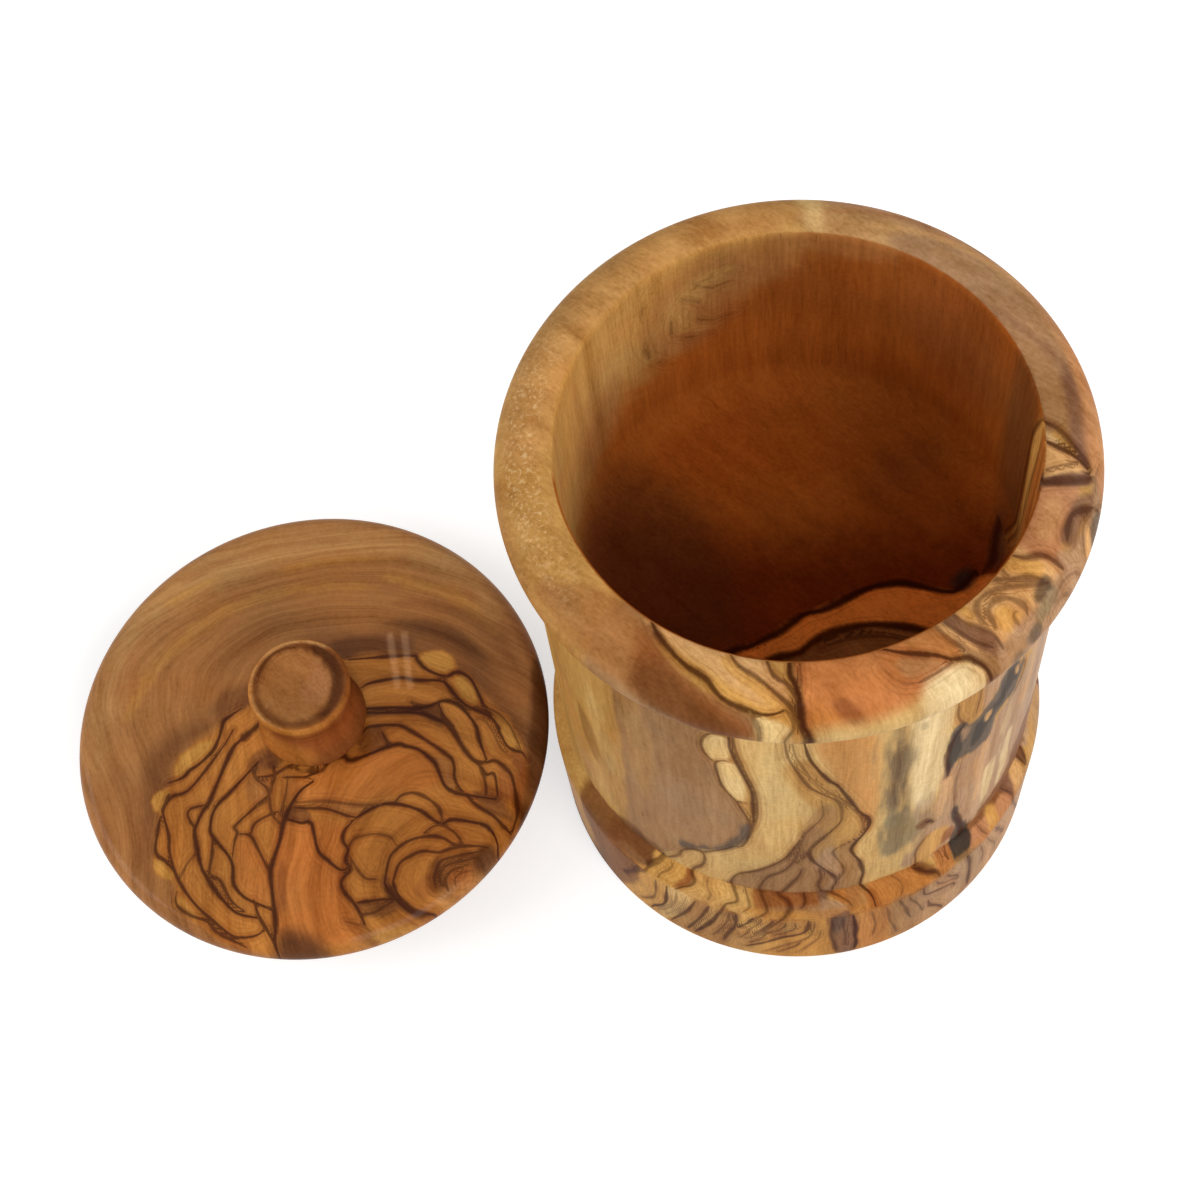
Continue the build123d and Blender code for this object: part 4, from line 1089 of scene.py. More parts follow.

# Hollow: degrees round the axis, and mm below the mouth's edge
# painted depth shading: from 30 mm below the mouth the wall is painted ember all round, a tone set for the light deep
# in the hollow
# painted shade: the lower left of the wall is painted umber, darker towards the floor
WALL_PATCHES = read_patches("""
ember 9 .8: -20,30 250,30 250,60 -20,60
olive 8 .85 4: 98,-4 250,-4 250,40 230,48 190,52 160,44 140,32 120,24 104,12
umber 6 .5 4: 176,50 200,44 226,40 250,32 250,60 150,60
brown 3 .5 4: 136,8 150,14 170,38 160,40 148,30 138,20
brown 2.4 .4 4: 174,4 180,14 186,30 180,34 175,20
brown 2.4 .4 4: 200,0 206,10 212,26 204,30 200,14
tan 2.4 .5 3: 126,2 140,6 148,16 142,26 132,20 128,12
brown 2.4 .6 3: 140,22 150,26 158,34 150,40 140,34
umber 1.6 .75: 8,-2 22,-2 19,50 8,50 7,20
straw .8 .9: .5,-2 3.5,2 5.5,8 6,20 5.6,34 6,50 0,50 .5,30 0,14 -1.6,4
orange 1.2 .8: -12,-2 -2.4,-2 -.6,12 1,50 -12,50
slate .9 .7: -15.6,-2 -12.2,-2 -12,50 -16,50
brown 1.6 .6: 60,-2 86,-2 96,2 86,5 70,6
brown 3 .7: 88,4 100,2.6 112,3 122,6 128,11 131,18 127,26 119,30 110,28 98,16 90,12
tan 1.2 .8: 104,8 111,7.6 117,9.4 122,13 125,18 123,23 120,18 115,13 108,10.6
tan .9 .6: 112,11.6 116,14.4 118.6,19 117,24 112,26 115.4,20 112.4,15
brown 2 .5: 150,26 157,28 159,36 153,42 149,34
brown 2 .4: 156,8 162,14 160,24 156,18
russet 5 .5: 30,4 52,2 60,20 44,34 28,26
""")

WALL_VEINS = read_veins("""
.6 .6: 1.9,-.6 5.9,8 6.8,14 6.6,38 7.6,52
.34 .5: -2.2,-.6 .4,14 2.3,34 4.6,52
.3 .4: -6,0 -5,10 -4,22 -3,36 -2,50
1 .6: -13.6,-.6 -12.6,10 -12,24 -12,40 -13,52
.3 .34: 106,8 112,10 117,13 120.6,17 121,22 117,26 110,28
.3 .32: 102,12 109,13 113.6,16.6 114,21 109,24 103,23
.4 .3: 126,4 130,10 131,18 128,26 122,33
""")

# Floor of the hollow: x and y in mm
# painted shadow: the left part of the floor, in the wall's shadow, is painted chocolate
# partly painted light: the copper band between the two dark veins is the wood's own band, painted brighter for the
# light that falls on the floor's front right
FLOOR_PATCHES = read_patches("""
ember 9 .9 2: -46,20 -20,8 10,6 46,14 46,46 -46,46
chocolate 6 .6 2: -44,26 -28,22 -14,8 -10,-12 -14,-19 -24,-28 -44,-24
copper .7: -11.6,-17.4 -6,-15 1.4,-10.2 17,-4.6 24,-5.4 31,-5.8 36,-3 40,-8 30,-20 23,-14 14.3,-12.8 6.4,-14.2 0,-18
 -5,-19.6
brown .8 .8: -5,-19 0,-17.8 6.4,-13.8 14.3,-12.4 23,-13.6 30,-20 20,-30 -6,-32
soot .8 .8: 29.6,-3.4 32.4,-1 34,-2.6 33,-5.6 30,-6
soot .8 .6: 36.6,0 38,6 39.6,10 40,2 38,-2
russet 3 .4: 14,14 24,16 28,24 18,24
""")

FLOOR_VEINS = read_veins("""
.65 .95: -22,-22 -12.1,-17.1 -9.3,-16.4 -6.4,-15 -2.9,-13.2 1.4,-10 5.7,-8.9 13.6,-5 17.1,-4.3 20.7,-4.1 27.9,-6.1
 30.7,-5.7 32.9,-3.6 34.6,-1
.8 .9: -16,-26 -9,-21.4 -4.3,-18.9 0,-17.9 2.9,-15.7 6.4,-13.9 14.3,-12.5 22.9,-13.8 28,-16
.4 .5: 4,-17 10,-15.2 16,-15 22,-16.4
.7 .7: 42,12 39.6,8 38.2,4 37.4,0 35,-3
""")


ZONE_FLOOR, ZONE_WALL, ZONE_OUTSIDE = range(3)  # of the bowl's outline


@dataclass
class Bowl:
    """The bowl: its outline's sizes in mm, its mesh and its figure, with painted light and shade in the hollow and
    under the crease.
    """

    collar_radius: float = 53.0
    collar_round: float = 8.1
    collar_height: float = 127.5
    cove_round: float = 3.0
    waist_radius: float = 49.1
    waist_height: float = 37.3
    groove_depth: float = 0.6
    groove_width: float = 0.9
    shoulder_swell: float = 0.6
    arris_radius: float = 51.8
    arris_height: float = 27.5
    arris_round: float = 0.45
    foot_radius: float = 51.4
    foot_edge_round: float = 1.6
    bore_radius: float = 42.0
    floor_height: float = 85.0
    floor_round: float = 7.0
    mouth_edge: float = 0.5
    chart_radius: float = 50.0
    body: str = "bowl"
    node: str = "pot_body"
    slot: str = "bowl_wood"
    finish: Finish = Finish("bowl_olive_wood", Cut.UPRIGHT, contrast=1.0)
    hollow_finish: Finish = Finish("hollow_olive_wood", Cut.UPRIGHT, contrast=0.7, gloss=0.45, coat=0.0, spec=0.05)

    def angles(self) -> np.ndarray:
        """Angles of a fine row in degrees: start, end and number, closest together where the figure is drawn."""
        spans = ((-170.0, -130.0, 44), (-130.0, -12.0, 236), (-12.0, 12.0, 30), (12.0, 190.0, 88))
        return np.concatenate([a + (b - a) * np.arange(n) / n for a, b, n in spans])

    def outline(self) -> tuple[Rows, tuple[range, ...]]:
        """Rows from the middle of the floor, up the wall, over the collar and down to the foot.

        Returns:
            The rows, each in its zone, and the ranges of coarse rows.
        """
        rows = Rows()
        wall, floor, rnd = self.bore_radius + SKIN, self.floor_height, self.floor_round
        rows.line((0, floor), (wall - rnd, floor), 1.0, ZONE_FLOOR)
        rows.arc((wall - rnd, floor + rnd), rnd, -90, 0, 1.1, ZONE_FLOOR)
        mid = (self.collar_radius - self.collar_round, self.collar_height)
        collar = self.collar_round - SKIN
        mouth_x = self.bore_radius + self.mouth_edge
        mouth_angle = math.degrees(math.acos((mouth_x - mid[0]) / collar))
        mouth_z = mid[1] + math.sqrt(collar**2 - (mouth_x - mid[0]) ** 2)
        rows.line((wall, floor + rnd), (wall, mouth_z - self.mouth_edge), 1.5, ZONE_WALL)
        rows.line((wall, mouth_z - self.mouth_edge), (mouth_x, mouth_z), 0.3, ZONE_WALL)
        inner = len(rows.r)
        cove_x = self.waist_radius + self.cove_round
        drop = math.sqrt((self.collar_round + self.cove_round) ** 2 - (cove_x - mid[0]) ** 2)
        cove_angle = math.degrees(math.atan2(drop, mid[0] - cove_x))
        rows.arc(mid, collar, mouth_angle, cove_angle - 180, 0.46, ZONE_OUTSIDE)
        rows.arc((cove_x, mid[1] - drop), self.cove_round + SKIN, cove_angle, 180, 0.7, ZONE_OUTSIDE)
        waist = self.waist_radius - SKIN
        rows.line((waist, mid[1] - drop), (waist, self.waist_height + 0.2), 1.05, ZONE_OUTSIDE)
        groove = (waist - self.groove_depth, self.waist_height - self.groove_width)
        rows.line((waist, self.waist_height + 0.2), (waist - 0.1, self.waist_height - 0.2), 0.3, ZONE_OUTSIDE)
        rows.line((waist - 0.1, self.waist_height - 0.2), groove, 0.45, ZONE_OUTSIDE)
        arris = (self.arris_radius - SKIN, self.arris_height)
        start, end = np.array(groove), np.array(arris)
        t = np.linspace(0, 1, 19)[:-1]
        # The shoulder swells out of its chord by a parabola, and its sharp edge is eased
        out = np.array([start[1] - end[1], end[0] - start[0]])
        out = out / np.linalg.norm(out)
        swell = start + (end - start) * t[:, None] + out * (4 * self.shoulder_swell * t * (1 - t))[:, None]
        keep = np.linalg.norm(swell - end, axis=1) > self.arris_round
        rows.run(swell[keep, 0], swell[keep, 1], ZONE_OUTSIDE)
        rows.run(arris[0] - np.array([0.2, 0.04]), arris[1] + np.array([0.28, 0.03]), ZONE_OUTSIDE)
        foot = (self.foot_radius - SKIN, self.foot_edge_round)
        rows.line((arris[0] - 0.03, arris[1] - 0.3), foot, 0.6, ZONE_OUTSIDE)
        flat = foot[0] - self.foot_edge_round
        rows.arc((flat, self.foot_edge_round), self.foot_edge_round, 0, -90, 0.5, ZONE_OUTSIDE)
        under = len(rows.r)
        rows.run(np.array([flat, flat * 0.9, flat * 0.55, flat * 0.2]), np.zeros(4), ZONE_OUTSIDE)
        rows.run(np.array([0.0]), np.array([0.0]), ZONE_OUTSIDE)
        return rows, (range(inner), range(under + 1, under + 5))

    def canvas(self, rows: Rows, shell: Shell) -> Canvas:
        """Paints the figure, with painted light and shade in the hollow and under the crease, on the charts of the
        floor, the wall and the outside.
        """
        r, z, zone = (np.asarray(v) for v in (rows.r, rows.z, rows.zone))
        first = int(np.flatnonzero(zone == ZONE_OUTSIDE)[0])
        steps = np.hypot(np.diff(r), np.diff(z))
        steps[:first] = 0
        along = np.concatenate([[0], np.cumsum(steps)])
        per_degree = math.radians(1) * self.chart_radius
        down = along[shell.row]
        outside_seam, wall_seam = -175, -170  # where each chart is cut open
        angle = (shell.angle - outside_seam) % 360 + outside_seam
        whole = Canvas(np.c_[angle, down], (per_degree, 1.0), Tone.TAN, mesh_step=0.75, weave=(1.3, 9.0))
        outside = zone[shell.row] == ZONE_OUTSIDE
        rng = np.random.default_rng(41)
        whole.paint(BOWL_PATCHES + self.wild_patches(rng), BOWL_VEINS + self.wild_veins(rng))
        around = (shell.angle - wall_seam) % 360 + wall_seam
        scale = (math.radians(1) * self.bore_radius, 1.0)
        wall = Canvas(np.c_[around, z[first] - z[shell.row]], scale, Tone.WALL, mesh_step=1.3)
        wall.paint(WALL_PATCHES, WALL_VEINS)
        floor = Canvas(shell.points[:, :2], (1.0, 1.0), Tone.FLOOR, mesh_step=1.1)
        floor.paint(FLOOR_PATCHES, FLOOR_VEINS)
        # Torn pale flecks along the left of the collar's top: full within 16 degrees and 2 mm of their middle
        fleck_angle, fleck_down = 182, 5.5
        left = np.clip(1.6 - np.abs((angle % 360) - fleck_angle) / 26, 0, 1)
        whole.fleck = np.where(outside, left * np.clip(2 - np.abs(down - fleck_down) / 2.2, 0, 1), 0)
        # The wall's tone runs into the floor's over the round between them
        rise = np.clip((shell.points[:, 2] - self.floor_height) / (self.floor_round * 1.2), 0, 1)
        blend = (rise * rise * (3 - 2 * rise))[:, None]
        inner_tone = floor.tone * (1 - blend) + wall.tone * blend
        low = ~outside & (shell.points[:, 2] < self.floor_height + 0.4 * self.floor_round)
        whole.tone[~outside] = inner_tone[~outside]
        for mask, source in ((~outside & ~low, wall), (low, floor)):
            for name in ("offset", "gap", "reach", "dark"):
                getattr(whole, name)[mask] = getattr(source, name)[mask]
        return whole

    @staticmethod
    def wild_patches(rng: np.random.Generator) -> tuple[Patch, ...]:
        """Heartwood and pale bands on the side that the photograph doesn't show."""
        bands = []
        for middle, wide, tone in ((0, 12, Tone.LILAC), (26, 9, Tone.MAUVE), (47, 6, Tone.FLESH),
                                   (66, 8, Tone.LILAC), (86, 7, Tone.MAUVE), (108, 9, Tone.STRAW),
                                   (132, 7, Tone.BROWN), (150, 6, Tone.GOLD), (168, 8, Tone.OLIVE)):
            lean = rng.normal(0, 3, 6)
            s = np.array([22, 46, 70, 92, 112, 146])
            left = np.c_[middle - wide + lean, s]
            right = np.c_[middle + wide + lean * 0.6 + rng.normal(0, 1.5, 6), s][::-1]
            bands.append(Patch(np.concatenate([left, right]), tone, soft=3.2, cover=0.6, teeth=3.0))
        return tuple(bands)

    @staticmethod
    def wild_veins(rng: np.random.Generator) -> tuple[Vein, ...]:
        """Wavy upright veins on that side: each is a slow random walk of the angle down the outline."""
        found = []
        for middle in (-4, 0, 21, 24, 41, 44.5, 50, 67, 70, 94, 97.5, 103, 121, 128, 131, 152, 156, 172):
            s = np.arange(16, 147, 10.0)
            walk = np.cumsum(rng.normal(0, 1.0, len(s)))
            walk = walk - np.linspace(walk[0], walk[-1], len(s)) * 0.7
            half, dark = float(rng.uniform(0.25, 0.5)), float(rng.uniform(0.35, 0.75))
            found.append(Vein(np.c_[middle + walk, s], half, dark))
        return tuple(found)

    def build(self, groups: dict[str, bpy.types.NodeTree]) -> bpy.types.Object:
        """Builds, dresses and hangs the bowl on its body.

        Args:
            groups: the shared node groups.

        Returns:
            The bowl's object.
        """
        rows, coarse = self.outline()
        shell = turn(rows, self.angles(), coarse)
        piece = make_piece("turned_bowl", shell, (0, 0, 0), self.canvas(rows, shell))
        mesh = piece.data
        mesh.materials.append(self.finish.make(groups))
        mesh.materials.append(self.hollow_finish.make(groups))
        first = np.empty(len(mesh.polygons), np.int32)
        corners = np.empty(len(mesh.loops), np.int32)
        mesh.polygons.foreach_get("loop_start", first)
        mesh.loops.foreach_get("vertex_index", corners)
        inner = np.asarray(rows.zone)[shell.row[corners[first]]] != ZONE_OUTSIDE
        mesh.polygons.foreach_set("material_index", inner.astype(np.int32))
        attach(piece, self.body)
        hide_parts(self.node)
        return piece


# ---------------------------------------------------------------------------------------------
# Figure of the lid, with painted shade on its right edge: x and y in mm from its axis

# painted shade: the rounded right edge, turned away from the light, is painted chocolate
LID_PATCHES = read_patches("""
umber 3 .75: -20,1 -12,8 -2,20 12,22 28,23 38,15 43,6 48,-2 50,-14 44,-8 36,6 24,14 8,14 -14,3 -28,-7 -30,-13 -32,-22
 -32,-38 -24,-46 -14,-52 -24,-48 -34,-38 -37,-26 -37,-12 -31,-2
chocolate 1.4 .7: 7,14 16,14.6 22,15.5 22,19 14,20 8,20 4,18
chocolate 1.6 .5: -22,2 -15,3 -12,6 -14,9 -20,7
# the network's outline
honey .45: -13,4 -14.5,2.4 -18.5,0 -22,-3.6 -24,-4.2 -28,-7.4 -29,-9.3 -29.4,-13.8 -30.4,-14.8 -32,-15.5 -33.5,-16.8
 -33.8,-18.6 -33,-20.2 -31.8,-21 -32.4,-26.5 -32.2,-29 -32.4,-33 -30.6,-35.2 -27.3,-37 -27.4,-40.8 -26.4,-42.4
 -24,-44.4 -21,-46.2 -18,-48.4 -14,-50.4 -10,-51.6 -5,-52.6 0,-53.4 12,-53.4 30,-46 44,-33 50,-22 49,-16 49,-13
 48.5,-10.5 47.8,-8 44.6,-.6 43,1 39.8,2.6 36.2,9.2 34.4,10.8 32.8,11.2 32.6,12.8 31.2,14.8 29.4,16 27,16.2 24.6,15.6
 23,14.7 19,14.8 9,14.4 0,12 -8,8
amber 1.6 .65: -13,3 -19,0 -28,-8 -29.6,-14 -26,-22 -28,-32 -25,-40 -17,-48 -8,-50 -8,-44 -16,-38 -19,-30 -17,-18
 -10,-8 -8,2
amber 1.6 .7: 9,14 23,14.6 33,11 46,-4 48,-12 40,-14 33,-4 28,2 12,2
# pearls along the edge
pearl .4 .8: -28.6,-12.6 -28.8,-10 -27.6,-7.6 -24,-5 -21.4,-4.4 -21.6,-6.2 -26.6,-11.6
pearl .35 .8: -30.4,-15.6 -32.4,-15.8 -33.6,-17.6 -33.2,-19.6 -31.8,-20.4 -30.8,-19 -30,-17
pearl .35 .8: -31.9,-31.2 -32.2,-33 -30.4,-35 -28.6,-35.8 -27.6,-35 -28.8,-33 -30.4,-31.6
pearl .4 .6: -26.6,-39.8 -27,-41.6 -25,-43.4 -22,-44.6 -25,-40.4
pearl .4 .8: 24.8,13.6 25.2,15.2 27.4,15.8 30,15.4 31.8,13.2 31.6,11.4 30,10.6 27.4,11.4
pearl .4 .8: 32.8,9.8 34.6,9.6 36.4,7 37.6,4.4 37.4,2.2 35.8,3 33.6,5.6 32.2,8
pearl .4 .7: 40.6,.6 43,.2 45,-2.4 46.8,-6 47.2,-8 45,-7.4 42.6,-3.6
amber .5 .8: 33.4,-11 35.4,-9.6 38.6,-12 39.4,-16 37,-17.6 34.6,-16.6 33.2,-14
# darker cells
umber .5 .7: 12,-4.8 13.2,-2.8 16.4,-2.2 17.6,-5 18.6,-6.6 14,-8.4 11.6,-8
umber .6 .8: 22.6,2.2 29,2.6 30.2,-2.4 27,-1.2 24,.8
umber .5 .8: -3.4,-20.6 .4,-20.8 2,-22.6 1.4,-24.4 -3.6,-23.2
umber .6 .8: -10.8,-10.4 -7.4,-6.8 -4.4,-8.8 -6.6,-11.4
brown .8 .5: 4,-19.4 14,-20 22,-19.2 14,-21.8 8,-22.6
rust 1.2 .6: .4,-24.4 9,-25 8.8,-29 10,-34 4,-31 2.4,-27
rust 1 .85: -5.6,-26 2,-25 3.4,-31 9.6,-35.4 9.2,-40 12,-44 13,-50 -3,-50 -5.4,-40
rust .8 .7: -14,-30 -12,-27.4 -7,-34 -6.6,-42 -13,-38
rust 1.2 .6: -3,-15 6,-10.6 18,-8 26,-10 29,-16 14,-19 0,-19.4
umber .8 .8: 37,-17.8 42.6,-19 45.6,-24 40.6,-22.4
russet .7 .6: 42.4,-12 45,-14 45.8,-19 42.8,-18
umber .6 .7: 12.6,-42 20.6,-41.6 22,-43 19,-45 13.4,-44.6
chocolate 2.2 .9 .5: -4,-48.8 0,-47.8 3.6,-49.4 7,-52.4 3,-55 -4,-55
russet 1 .6: -4.8,-33 -3,-34 -3,-42 -4.8,-43
brown 1.4 .7: 12,-50.4 20,-47 27,-45.6 34,-41 43,-32 38,-41 26,-49
pearl .8 .5: 16,-49 20,-47.4 24,-46.4 26,-47 20,-50
umber 1.2 .65: 29,-33 36,-31.6 40,-30.4 41.6,-33 38,-36 30.6,-39.6 28.6,-37
rust 1 .6: 33,-35 37,-34.6 36.4,-38 33.4,-39.4 32,-37.6
flesh 1.4 .35: 30,-40 36,-37 41,-33.4 38,-39 32,-43.4
chocolate .8 .7: 38.4,-30 40.6,-29 41.8,-31.6 39.8,-35 37.6,-33.6
umber .5 .8: 18.2,-36 20.6,-39.6 23.6,-43 26.6,-45 24,-45 20,-42 18,-39
russet 1 .5: 26,-37 28.6,-36 29.4,-39.6 27,-41.4 25,-40
chocolate 1 .75: 49.6,14 54,10 54,-20 48,-28 46.6,-24 47.6,-16 49,0
russet .8 .8: 45,-9 47.6,-9.4 48.6,-14 47,-21 46,-20 46.2,-14
umber .5 .85: 13,2.6 18,2.3 24,2.3 28,2.8 28.6,-.2 24,.3 18,.5 13,.2
umber .7 .7: -12.6,-9 -9.6,-6.6 -6,-8 -6.6,-11 -9.4,-12.6 -12.6,-11.8
brown .9 .6: -13,-14 -9,-13.4 -7.6,-16 -8.4,-19.4 -12,-18.6
brown .6 .6: 28.6,-9.6 31.6,-10.6 32.4,-14 32.6,-16.8 30.6,-15.4 29.6,-12.4
# streaks of the brown heartwood
gold 4 .3 1.6: -46,-10 -44,8 -34,26 -18,36 0,41 20,40 34,32 40,24 38,34 24,44 4,48 -18,46 -36,36 -46,20 -50,0
pearl .9 .3 .8: -40,2 -34,14 -22,25 -6,31 12,32 12,33.4 -8,33 -24,27.4 -36,16 -42,4
russet .9 .35 .8: -30,36 -14,43 4,45 4,46 -14,44.4 -30,38
pearl .9 .35 .8: 16,34 30,29 40,20 41,22 32,31 18,35.6
pearl .9 .35: -8,37 4,39 16,39.4 16,40.6 2,40.6 -8,38.6
pearl .8 .35: -34,30 -24,35.6 -25,36.4 -30,34 -35,31
russet 2 .35: -46,10 -40,24 -36,26 -33,26 -38,20 -43,8
umber 1.4 .5: 18,28 27,29 36,26 43,20 46,12 42,16 34,23 26,26.4
chocolate 1 .4: 16,23 25,24 33,21 39,14 36,14.6 30,19 24,21
""")

LID_VEINS = read_veins("""
# left side of the network
.4 .9: -15,3 -17.4,1.4 -18.9,0 -19.7,-3.7 -21,-7 -24.1,-10.1 -25.8,-11.2 -27.2,-12.8 -30.4,-13.9
.36: -16.6,-2 -18.6,-5.9 -25.2,-15.3 -29.1,-17 -30.5,-18.7 -31.1,-20.6 -29.4,-25.9 -29.1,-29.2 -28,-32.6 -26.9,-35.3
 -25.2,-38.1 -23,-40.9 -20.2,-43.7 -14.7,-48.1 -11.9,-48.9 -8.8,-48.6 -6.6,-47
.5 .9: -10.8,-.9 -15,-4.8 -16.9,-7.6 -20.8,-18.7 -21.9,-20.3 -23.3,-23.7 -23.6,-25.9 -21.9,-32.6 -20.5,-35.3
 -18.6,-38.1 -16.3,-40.9 -14.1,-43.1 -11.9,-44.2 -9,-44.8
.8: -10.4,-.6 -13.6,-3.6 -15,-4.8
.3 .8: -21.2,-19.2 -24.9,-20.1 -25.5,-21.4 -24.7,-23.1 -23.6,-24.6
.42 .9: -10.4,-9.8 -16.3,-16.7 -18.3,-18.7 -19.7,-20.9 -20.2,-23.7 -19.7,-26.4 -15.2,-32 -14.4,-37 -13,-39.2
 -10.8,-40.9 -5.6,-43.2
.38 .8: -19.7,-26.4 -19.4,-30.3 -19.7,-34.8 -17.4,-36.4 -14.7,-40.9 -11.6,-43.4
.32 .8: -7.4,-17.4 -14.1,-23.7 -14.9,-24.8 -14.1,-26 -14.7,-28.1 -14.9,-31.4
.32 .8: -14.1,-26.2 -11.3,-26.7 -9.7,-29.2 -6.3,-35.6
.3 .75: -5.2,-21.4 -8.6,-22.8 -10.5,-24.2 -11.3,-26.6
.3 .7: -11.9,-10.9 -10.8,-13.7 -8,-16.4 -6.9,-21.4 -4.5,-25
.55 .9: 2,-14.8 -.8,-17 -3,-20.9 -4.1,-24.2 -4.7,-28.1 -6.1,-33.1 -6.3,-35.9 -4.9,-45.3 -4.7,-49.8 -4.1,-53
.34 .8: -10.8,-13.4 -6.9,-13.1 -4.7,-11.7 -1.9,-10.5 2,-10 3,-12
.3 .75: -4.7,-13.7 -1.9,-13.7 1.4,-13.9
.34 .7: -7.2,-10.3 -6.6,-13.7 -7.7,-17
.28 .6: -3.6,-14 -4,-18 -4.6,-21 -5.2,-23.4
.38: -9.7,-40.9 -8.6,-44.2 -6.9,-47 -5.2,-49.8 -4.1,-52.6
.36 .8: -26.9,-38.6 -26.6,-41.4 -23.6,-43.7 -19.7,-45.3 -17.4,-47.6 -11,-50.8
.42: -31.6,-21.6 -32.2,-28.1 -31.6,-30.3 -29.7,-31.7 -27.4,-34.2 -26.3,-36.2
.26 .6: -23,-30 -25.2,-33.1 -26.1,-35.6
.4 .8: -30,-16.4 -30.8,-18.6 -31.4,-20.6
# right side of the network
.46 .9: -.4,-13.9 3.7,-12.3 5.3,-10.1 8.4,-8.7 10.3,-10.1 19.2,-6.7 22,-7 24.8,-7.8 27,-9.5 28.7,-11.4 30.6,-15.9
 32.6,-17.6 35.9,-18.4 41.8,-19.3
.3 .7: -2.6,-11.4 .3,-10.9 3.1,-12.2
.42: 11.4,-5.6 13.1,-2.6 16.4,-2 19.2,-2 22,-2.8 30.9,-8.9 32.6,-11.4 32.8,-14.2 33.7,-16.4 35.4,-18.3
.3 .7: 16.6,-3.6 18,-6 19.4,-6.8
.46 .9: 12.4,2 19.2,2.2 23.1,2 27,2.6 29.2,3.6 31.4,3.6 33.7,2.4 35.9,-.3 37.3,-2.6 38.1,-5.9 40,-10.9
: 12.6,1 23.7,.9 28.1,-.5 30.9,-2.2 35.3,-8.7 38.1,-11.4 39.8,-13.7 41.4,-13.4 42.3,-18.6
.44: 28.9,3 30,.2 32,-2.5 34.8,-7.6 37,-10.3 39.8,-10.8 41.4,-10.4 43.7,-12 45.3,-14.2 46.4,-19.8 46.4,-22.6 45.3,-26
.36: 38.2,3.2 41.4,-1.4 42.6,-4.2 44.2,-7 45.9,-8.1 47.3,-8.4 48.4,-10
.26 .6: 36.4,2.4 39.8,1.9 42.6,.2 44.8,-2.6 47.4,-8.3
.34 .75: 38.1,-11.2 39.5,-15.3 39.8,-18.4
.44: 35.3,-18.4 38.1,-20.9 41.4,-23.1 43.1,-24.8 45,-26.6
.34 .8: -2.4,-20.6 1,-20.9 5.3,-21.2 9.8,-22.8 11.7,-23.2
.4 .5: -2,-19.6 4.8,-19.4 9.8,-20.1 13.7,-20.5 17.6,-20.2
.4 .9: -3.6,-23.2 -.2,-24.2 2,-24.4 3.7,-30.3 5.9,-32.6 8.7,-34.8 10.9,-34.6
.42 .9: 10.3,-24.8 11.7,-23.4 14.8,-21.4 17.6,-20.3 20.3,-20.3 23.1,-20.9 25.9,-22 28.1,-23.7 30.3,-24.8 32.6,-23.9
 37,-24.5 39.8,-25.3 41.4,-27 42.3,-29.2 42.2,-31.6
: 11.2,-23.9 9.2,-26.4 9.2,-28.7 10.3,-30.3 9.8,-32.6 10.9,-34.8 9.2,-37 9.5,-39.2 12.6,-43.1 14.8,-47.6
.4 .75: 20.1,-19.8 21.4,-18.4 23.7,-17.8 25.9,-18.4 28.1,-19.8 29.8,-21.7 30.5,-24.4
.28 .55: 10.3,-30 11.4,-28.1 13.7,-27.3 16.4,-27 19.4,-27.8 20.6,-29.6
.34 .65: 10.3,-31.4 12,-34.2 14.2,-36.7 16.6,-37
.36 .8: 18.3,-38.4 19.2,-32.6 20.9,-30.3 23.1,-28.7 25.9,-27.8 28.7,-27.6 30.9,-28.1 32.6,-29.2 34.8,-29.8 38.1,-29.8
 40.4,-30.2
.5: 18.3,-37.6 19.4,-39.6 23,-43.3 25.9,-44.2 29,-44
.26 .5: 36.6,-.4 38.6,-.8 40.2,-2.4 43,-7.8 44.4,-8.8
.26 .6: -10.6,-10.4 -11,-12.4 -10.4,-14 -8,-14.2
.26 .55: -7.4,-14 -7.2,-17 -8.6,-19.4 -11,-20.6
.36 .8: 20.1,-37.8 21.4,-33.7 23.7,-32 26.4,-30.9 29.8,-31.2 32.6,-30.3 36.2,-29.9
.46: 20.1,-37.4 20.9,-39.8 22.6,-42 24.8,-43.7 27.6,-44.2
.36 .7: 29.4,-39 29,-37 29.5,-34.8 30.3,-33.1 32.6,-32.3 39,-30.9
.26 .6: 30.6,-39 30.2,-37 30.6,-35.3 32,-33.9 38,-32.4
.3 .6: 32,-39.6 31.4,-37.6 32,-35.9 33.7,-34.8 36.4,-34
.22 .5: 33.6,-38.6 33.4,-36.8 35,-35.6 37.4,-35
.3 .7: 26.6,-26.8 28.7,-25.3 30.3,-25.1 32.6,-26.4 34.2,-28.1 35,-29.9
.36: 12.6,-42 15.3,-41.7 18.1,-41.4 20.9,-41.4
.34 .6: 13.1,-44.8 16.4,-44.2 18.1,-43.1 20.3,-42
.26 .4: 10,-46 13.7,-47 16,-48.4
# behind the knob
.42 .9: 8.4,14.1 22,14.9 23.7,13.8 25.3,11.9 27.6,10.5 30.3,9.7 32.6,10.7 34.8,9.9 36.4,8 38.7,3 40,1.9 41.6,1
.42 .9: 11.4,7 13.7,8.3 20.3,9.4 23.7,8.8 29.2,8.6 30.9,7.2 32.6,4.9 35.3,2.4 38.1,1.1 40.3,-.3 42.6,-2.8
.28 .6: 22.6,3.8 24.4,3 26.2,2.6
.3 .7: 29.4,8.4 30.4,9.6 31,10.2
""")


